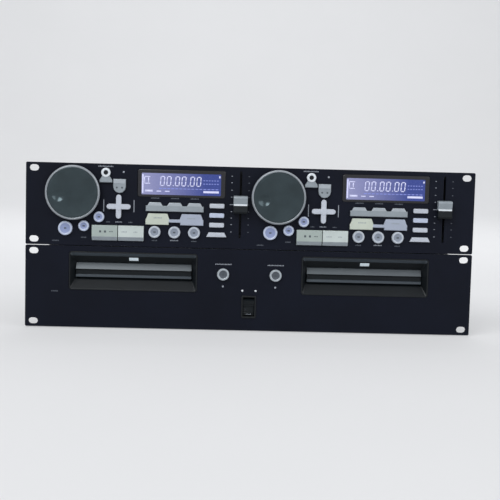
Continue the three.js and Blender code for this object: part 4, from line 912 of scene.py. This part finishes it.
def socket_pin():
    return turned([(0, 0), (PIN["radius"], 0), (PIN["radius"], PIN["length"] - PIN["tip"]),
                   (0, PIN["length"])], PIN["steps"])


def socket_pins(name, x, y, z):
    turn = 2 * math.pi / (PIN["count"] + 1)
    places = []
    for number in range(PIN["count"]):
        angle = turn * (number + 1)
        places.append((x + PIN["circle"] * math.sin(angle), y, z - PIN["circle"] * math.cos(angle)))
    piece(name, gathered(socket_pin, places), "root", "zinc_steel", BRASS)


def rear_sockets():
    places = [(JACK["first"] + JACK["pitch"] * number, REAR, BOARD_TOP + JACK["rise"])
              for number in range(JACK["count"])]
    piece("jack_rings_white", gathered(jack_ring, places[::2]), "root", "white_key", NYLON)
    piece("jack_rings_red", gathered(jack_ring, places[1::2]), "root", "black_plastic", RED)
    for x in TRANSPORT_PINS["places"]:
        socket_pins(f"transport_socket_pins_{-x}", x, REAR - TRANSPORT_PINS["depth"],
                    BOARD_TOP + TRANSPORT_PINS["rise"])
    for side, sign in SIDES.items():
        socket_pins(f"controller_socket_pins_{side}", sign * CASE_SOCKET["offset"],
                    CASE_HIGH.y - CONTROLLER_PINS["depth"], CASE_MIDDLE + CONTROLLER_PINS["rise"])


# Screws: round heads with a cross, on the case, the cover and the rear wall

SCREW = {"radius": 3, "root": 0.3, "height": 1.3, "crown": 0.5, "crown_drop": 0.15, "cross": 3.2,
         "slot": 0.8, "steps": 32}
REAR_SCREWS = {"top": (-208, -90, 90, 208), "top_drop": 8, "low": (-208, 100, 208), "low_rise": 6}
SIDE_SCREWS = {"case_inset": 12, "cover_inset": 18, "cover_rise": 12}
FACING = {"rear": Matrix.Identity(4), "left": Matrix.Rotation(math.pi / 2, 4, "Z"),
          "right": Matrix.Rotation(-math.pi / 2, 4, "Z")}


def screw_head():
    radius, height = SCREW["radius"], SCREW["height"]
    return turned([(0, -SCREW["root"]), (radius, -SCREW["root"]), (radius, height - SCREW["crown"]),
                   (radius - SCREW["crown"], height - SCREW["crown_drop"]), (0, height)], SCREW["steps"])


def screw_cross():
    shape = bmesh.new()
    add_box(shape, 0, 0, SCREW["cross"], SCREW["slot"], SCREW["height"] + HAIR, 0)
    add_box(shape, 0, 0, SCREW["slot"], SCREW["cross"], SCREW["height"] + 1.5 * HAIR, 0)
    return shape


def screws():
    inset = SIDE_SCREWS["case_inset"]
    case_depths = (CASE_LOW.y + inset, CASE_HIGH.y - inset)
    inset = SIDE_SCREWS["cover_inset"]
    cover_depths = (COVER_LOW.y + inset, (COVER_LOW.y + COVER_HIGH.y) / 2, COVER_HIGH.y - inset)
    groups = {"rear": [(x, REAR, COVER_HIGH.z - REAR_SCREWS["top_drop"]) for x in REAR_SCREWS["top"]]}
    groups["rear"] += [(x, REAR, COVER_LOW.z + REAR_SCREWS["low_rise"]) for x in REAR_SCREWS["low"]]
    for side, sign in SIDES.items():
        level = COVER_LOW.z + SIDE_SCREWS["cover_rise"]
        groups[side] = [(sign * COVER_HIGH.x, depth, level) for depth in cover_depths]
        groups[side] += [(sign * CASE_HIGH.x, depth, CASE_MIDDLE) for depth in case_depths]
    for facing, places in groups.items():
        heads = gathered(screw_head, places, FACING[facing])
        piece(f"screws_{facing}", heads, "root", "black_steel", STEEL)
        crosses = gathered(screw_cross, places, FACING[facing])
        piece(f"screw_crosses_{facing}", crosses, "root", "black_steel", BLACK)


# Loader: rubber ring on the turntable and the sled's lens

RING = {"inner": 8.5, "outer": 13.6, "height": 0.35, "drop": 2, "steps": 56}
SLED_LENS = {"radius": 2.5, "root": 0.2, "edge": 0.1, "shoulder": 0.6, "shoulder_share": 0.7, "height": 0.8,
             "drop": 0.8, "steps": 32}
UPRIGHT = Matrix.Rotation(math.pi / 2, 4, "X")


def rubber_ring():
    inner, outer, height = RING["inner"], RING["outer"], RING["height"]
    return turned([(inner, -ROOT), (outer, -ROOT), (outer, height), (inner, height), (inner, -ROOT)],
                  RING["steps"])


def lens_dome():
    radius = SLED_LENS["radius"]
    return turned([(0, -SLED_LENS["root"]), (radius, -SLED_LENS["root"]), (radius, SLED_LENS["edge"]),
                   (SLED_LENS["shoulder_share"] * radius, SLED_LENS["shoulder"]), (0, SLED_LENS["height"])],
                  SLED_LENS["steps"])


def on_top(node, drop):
    """The middle of a node's top, lowered by a drop."""
    spot = middle(node)
    return (spot.x, spot.y, node_box(node)[1].z - drop)


def loader(side):
    spindle, sled = f"spindle_{side}", f"laser_sled_{side}"
    ring = gathered(rubber_ring, [on_top(spindle, RING["drop"])], UPRIGHT)
    piece(f"turntable_ring_{side}", ring, spindle, "black_plastic", RUBBER)
    dome = gathered(lens_dome, [on_top(sled, SLED_LENS["drop"])], UPRIGHT)
    piece(f"sled_lens_{side}", dome, f"sled_{side}", "display_window", LENS)


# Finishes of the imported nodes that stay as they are

KEPT = {"drive_frame": BLACK, "loading_gear": NYLON, "spindle": ZINC, "laser_sled": BLACK}
for side in SIDES:
    for base, material in KEPT.items():
        for holder in frame["nodes"][f"{base}_{side}"].material_slots:
            holder.material = material

# All pieces: each deck with its drive, and then what both sides share

PALE_KEYS = ("flash_key_1", "flash_key_2", "flash_key_3")
LAVENDER_KEYS = ("scratch_key", "brake_key", "reverse_key")
for side, sign in SIDES.items():
    jog_wheel(side)
    for key in LAVENDER_KEYS:
        round_key(f"{key}_{side}", f"{key}_{side}", "violet_key", LAVENDER, LAVENDER_DEEP)
    for key in PALE_KEYS:
        round_key(f"{key}_{side}", f"{key}_{side}", "violet_key", PALE, PALE_DISH)
    flat_keys(side)
    key_prints(side)
    mode_ring(side)
    shift_marks(side)
    fader_cap(side)
    display(side)
    deck_marks(side)
    drive_front(side)
    eject_group(side, sign)
    loader(side)
unit_print()
power_rocker()
housings()
controller_board()
lower_boards()
rear_sockets()
screws()


# Floor, backdrop, light and camera, in metres

SKY = {"colour": (0.88, 0.9, 0.93, 1), "light": 0.34, "seen": 0.92}
FLOOR = {"colour": tone(226, 227, 229), "contrast": 0.015, "patch": 3, "roughness": 0.9, "evenness": 0.5}
ROOM = {"width": 16, "front": -6, "turn": 2.4, "curve": 1.6, "top": 6, "curve_steps": 24, "sight": 50}
LAMPS = {"key_lamp": {"place": (-0.9, -1.5, 1.7), "power": 32, "size": 1.4},
         "fill_lamp": {"place": (1.5, -1.2, 1.1), "power": 14, "size": 1.6},
         "back_lamp": {"place": (0.2, 1.3, 1.6), "power": 10, "size": 1.4},
         "wall_lamp": {"place": (0, 1.2, 2.6), "power": 60, "size": 2.4, "target": (0, 3.6, 1.2)}}


def where_seen(tree, unseen, seen):
    """One value where the camera, a gloss or a glass sees a surface, and another for the light it gives."""
    rays = tree.nodes.new("ShaderNodeLightPath")
    total = rays.outputs["Is Camera Ray"]
    for kind in ("Is Glossy Ray", "Is Transmission Ray"):
        joined = tree.nodes.new("ShaderNodeMath")
        joined.operation = "ADD"
        tree.links.new(total, joined.inputs[0])
        tree.links.new(rays.outputs[kind], joined.inputs[1])
        total = joined.outputs["Value"]
    return spread(tree, total, unseen, seen, 0, 1)


def pale_floor():
    """A pale finish whose light falls off less where it is seen."""
    material, tree, shader = node_tree("pale_floor")
    dark = [channel * (1 - FLOOR["contrast"]) for channel in FLOOR["colour"]]
    shade = tinted(tree, shader, noise(tree, FLOOR["patch"]), dark, FLOOR["colour"])
    shader.inputs["Roughness"].default_value = FLOOR["roughness"]
    glow = tree.nodes.new("ShaderNodeEmission")
    tree.links.new(shade, glow.inputs["Color"])
    mix = tree.nodes.new("ShaderNodeMixShader")
    tree.links.new(where_seen(tree, 0, FLOOR["evenness"]), mix.inputs["Fac"])
    tree.links.new(shader.outputs["BSDF"], mix.inputs[1])
    tree.links.new(glow.outputs["Emission"], mix.inputs[2])
    tree.links.new(mix.outputs["Shader"], tree.nodes["Material Output"].inputs["Surface"])
    return material


def backdrop():
    """A floor that curves up into a wall."""
    shape = bmesh.new()
    wall = ROOM["turn"] + ROOM["curve"]
    chain = [(ROOM["front"], 0)]
    for step in range(ROOM["curve_steps"] + 1):
        angle = math.pi / 2 * step / ROOM["curve_steps"]
        chain.append((ROOM["turn"] + ROOM["curve"] * math.sin(angle), ROOM["curve"] * (1 - math.cos(angle))))
    chain.append((wall, ROOM["top"]))
    verts = [shape.verts.new((-ROOM["width"] / 2, y, z)) for y, z in chain]
    edges = [shape.edges.new(pair) for pair in zip(verts, verts[1:])]
    grown = bmesh.ops.extrude_edge_only(shape, edges=edges)["geom"]
    ends = [part for part in grown if isinstance(part, bmesh.types.BMVert)]
    bmesh.ops.translate(shape, vec=(ROOM["width"], 0, 0), verts=ends)
    bmesh.ops.recalc_face_normals(shape, faces=shape.faces)
    for face in shape.faces:
        face.smooth = True
    mesh = bpy.data.meshes.new("backdrop")
    shape.to_mesh(mesh)
    shape.free()
    mesh.materials.append(pale_floor())
    made = bpy.data.objects.new("backdrop", mesh)
    bpy.context.scene.collection.objects.link(made)


def lamp(name, place, power, size, target=(0, 0, 0.09)):
    data = bpy.data.lights.new(name, "AREA")
    data.energy = power
    data.size = size
    made = bpy.data.objects.new(name, data)
    made.location = place
    made.rotation_euler = (Vector(target) - Vector(place)).to_track_quat("-Z", "Y").to_euler()
    bpy.context.scene.collection.objects.link(made)


def world():
    """An even sky that lights the object softly and is as pale as the floor where it is seen itself."""
    scene_world = bpy.data.worlds.new("studio")
    scene_world.use_nodes = True
    tree = scene_world.node_tree
    background = tree.nodes["Background"]
    background.inputs["Color"].default_value = SKY["colour"]
    tree.links.new(where_seen(tree, SKY["light"], SKY["seen"]), background.inputs["Strength"])
    bpy.context.scene.world = scene_world


def camera(distance, elevation, azimuth, roll, lens, aim):
    data = bpy.data.cameras.new("camera")
    data.lens = lens
    data.clip_end = ROOM["sight"]
    made = bpy.data.objects.new("camera", data)
    turn, rise = math.radians(azimuth), math.radians(elevation)
    back = Vector((math.sin(turn) * math.cos(rise), -math.cos(turn) * math.cos(rise), math.sin(rise)))
    made.location = Vector(aim) + back * distance
    facing = (-back).to_track_quat("-Z", "Y").to_matrix().to_4x4()
    made.rotation_euler = (facing @ Matrix.Rotation(math.radians(roll), 4, "Z")).to_euler()
    bpy.context.scene.collection.objects.link(made)
    bpy.context.scene.camera = made


backdrop()
for name, values in LAMPS.items():
    lamp(name, **values)
world()
camera(distance=1.14, elevation=5, azimuth=-1.5, roll=1.5, lens=76,
       aim=(0, FRONT * MM, CONTROLLER_TOP / 2 * MM))
bpy.context.scene.view_settings.view_transform = "Standard"
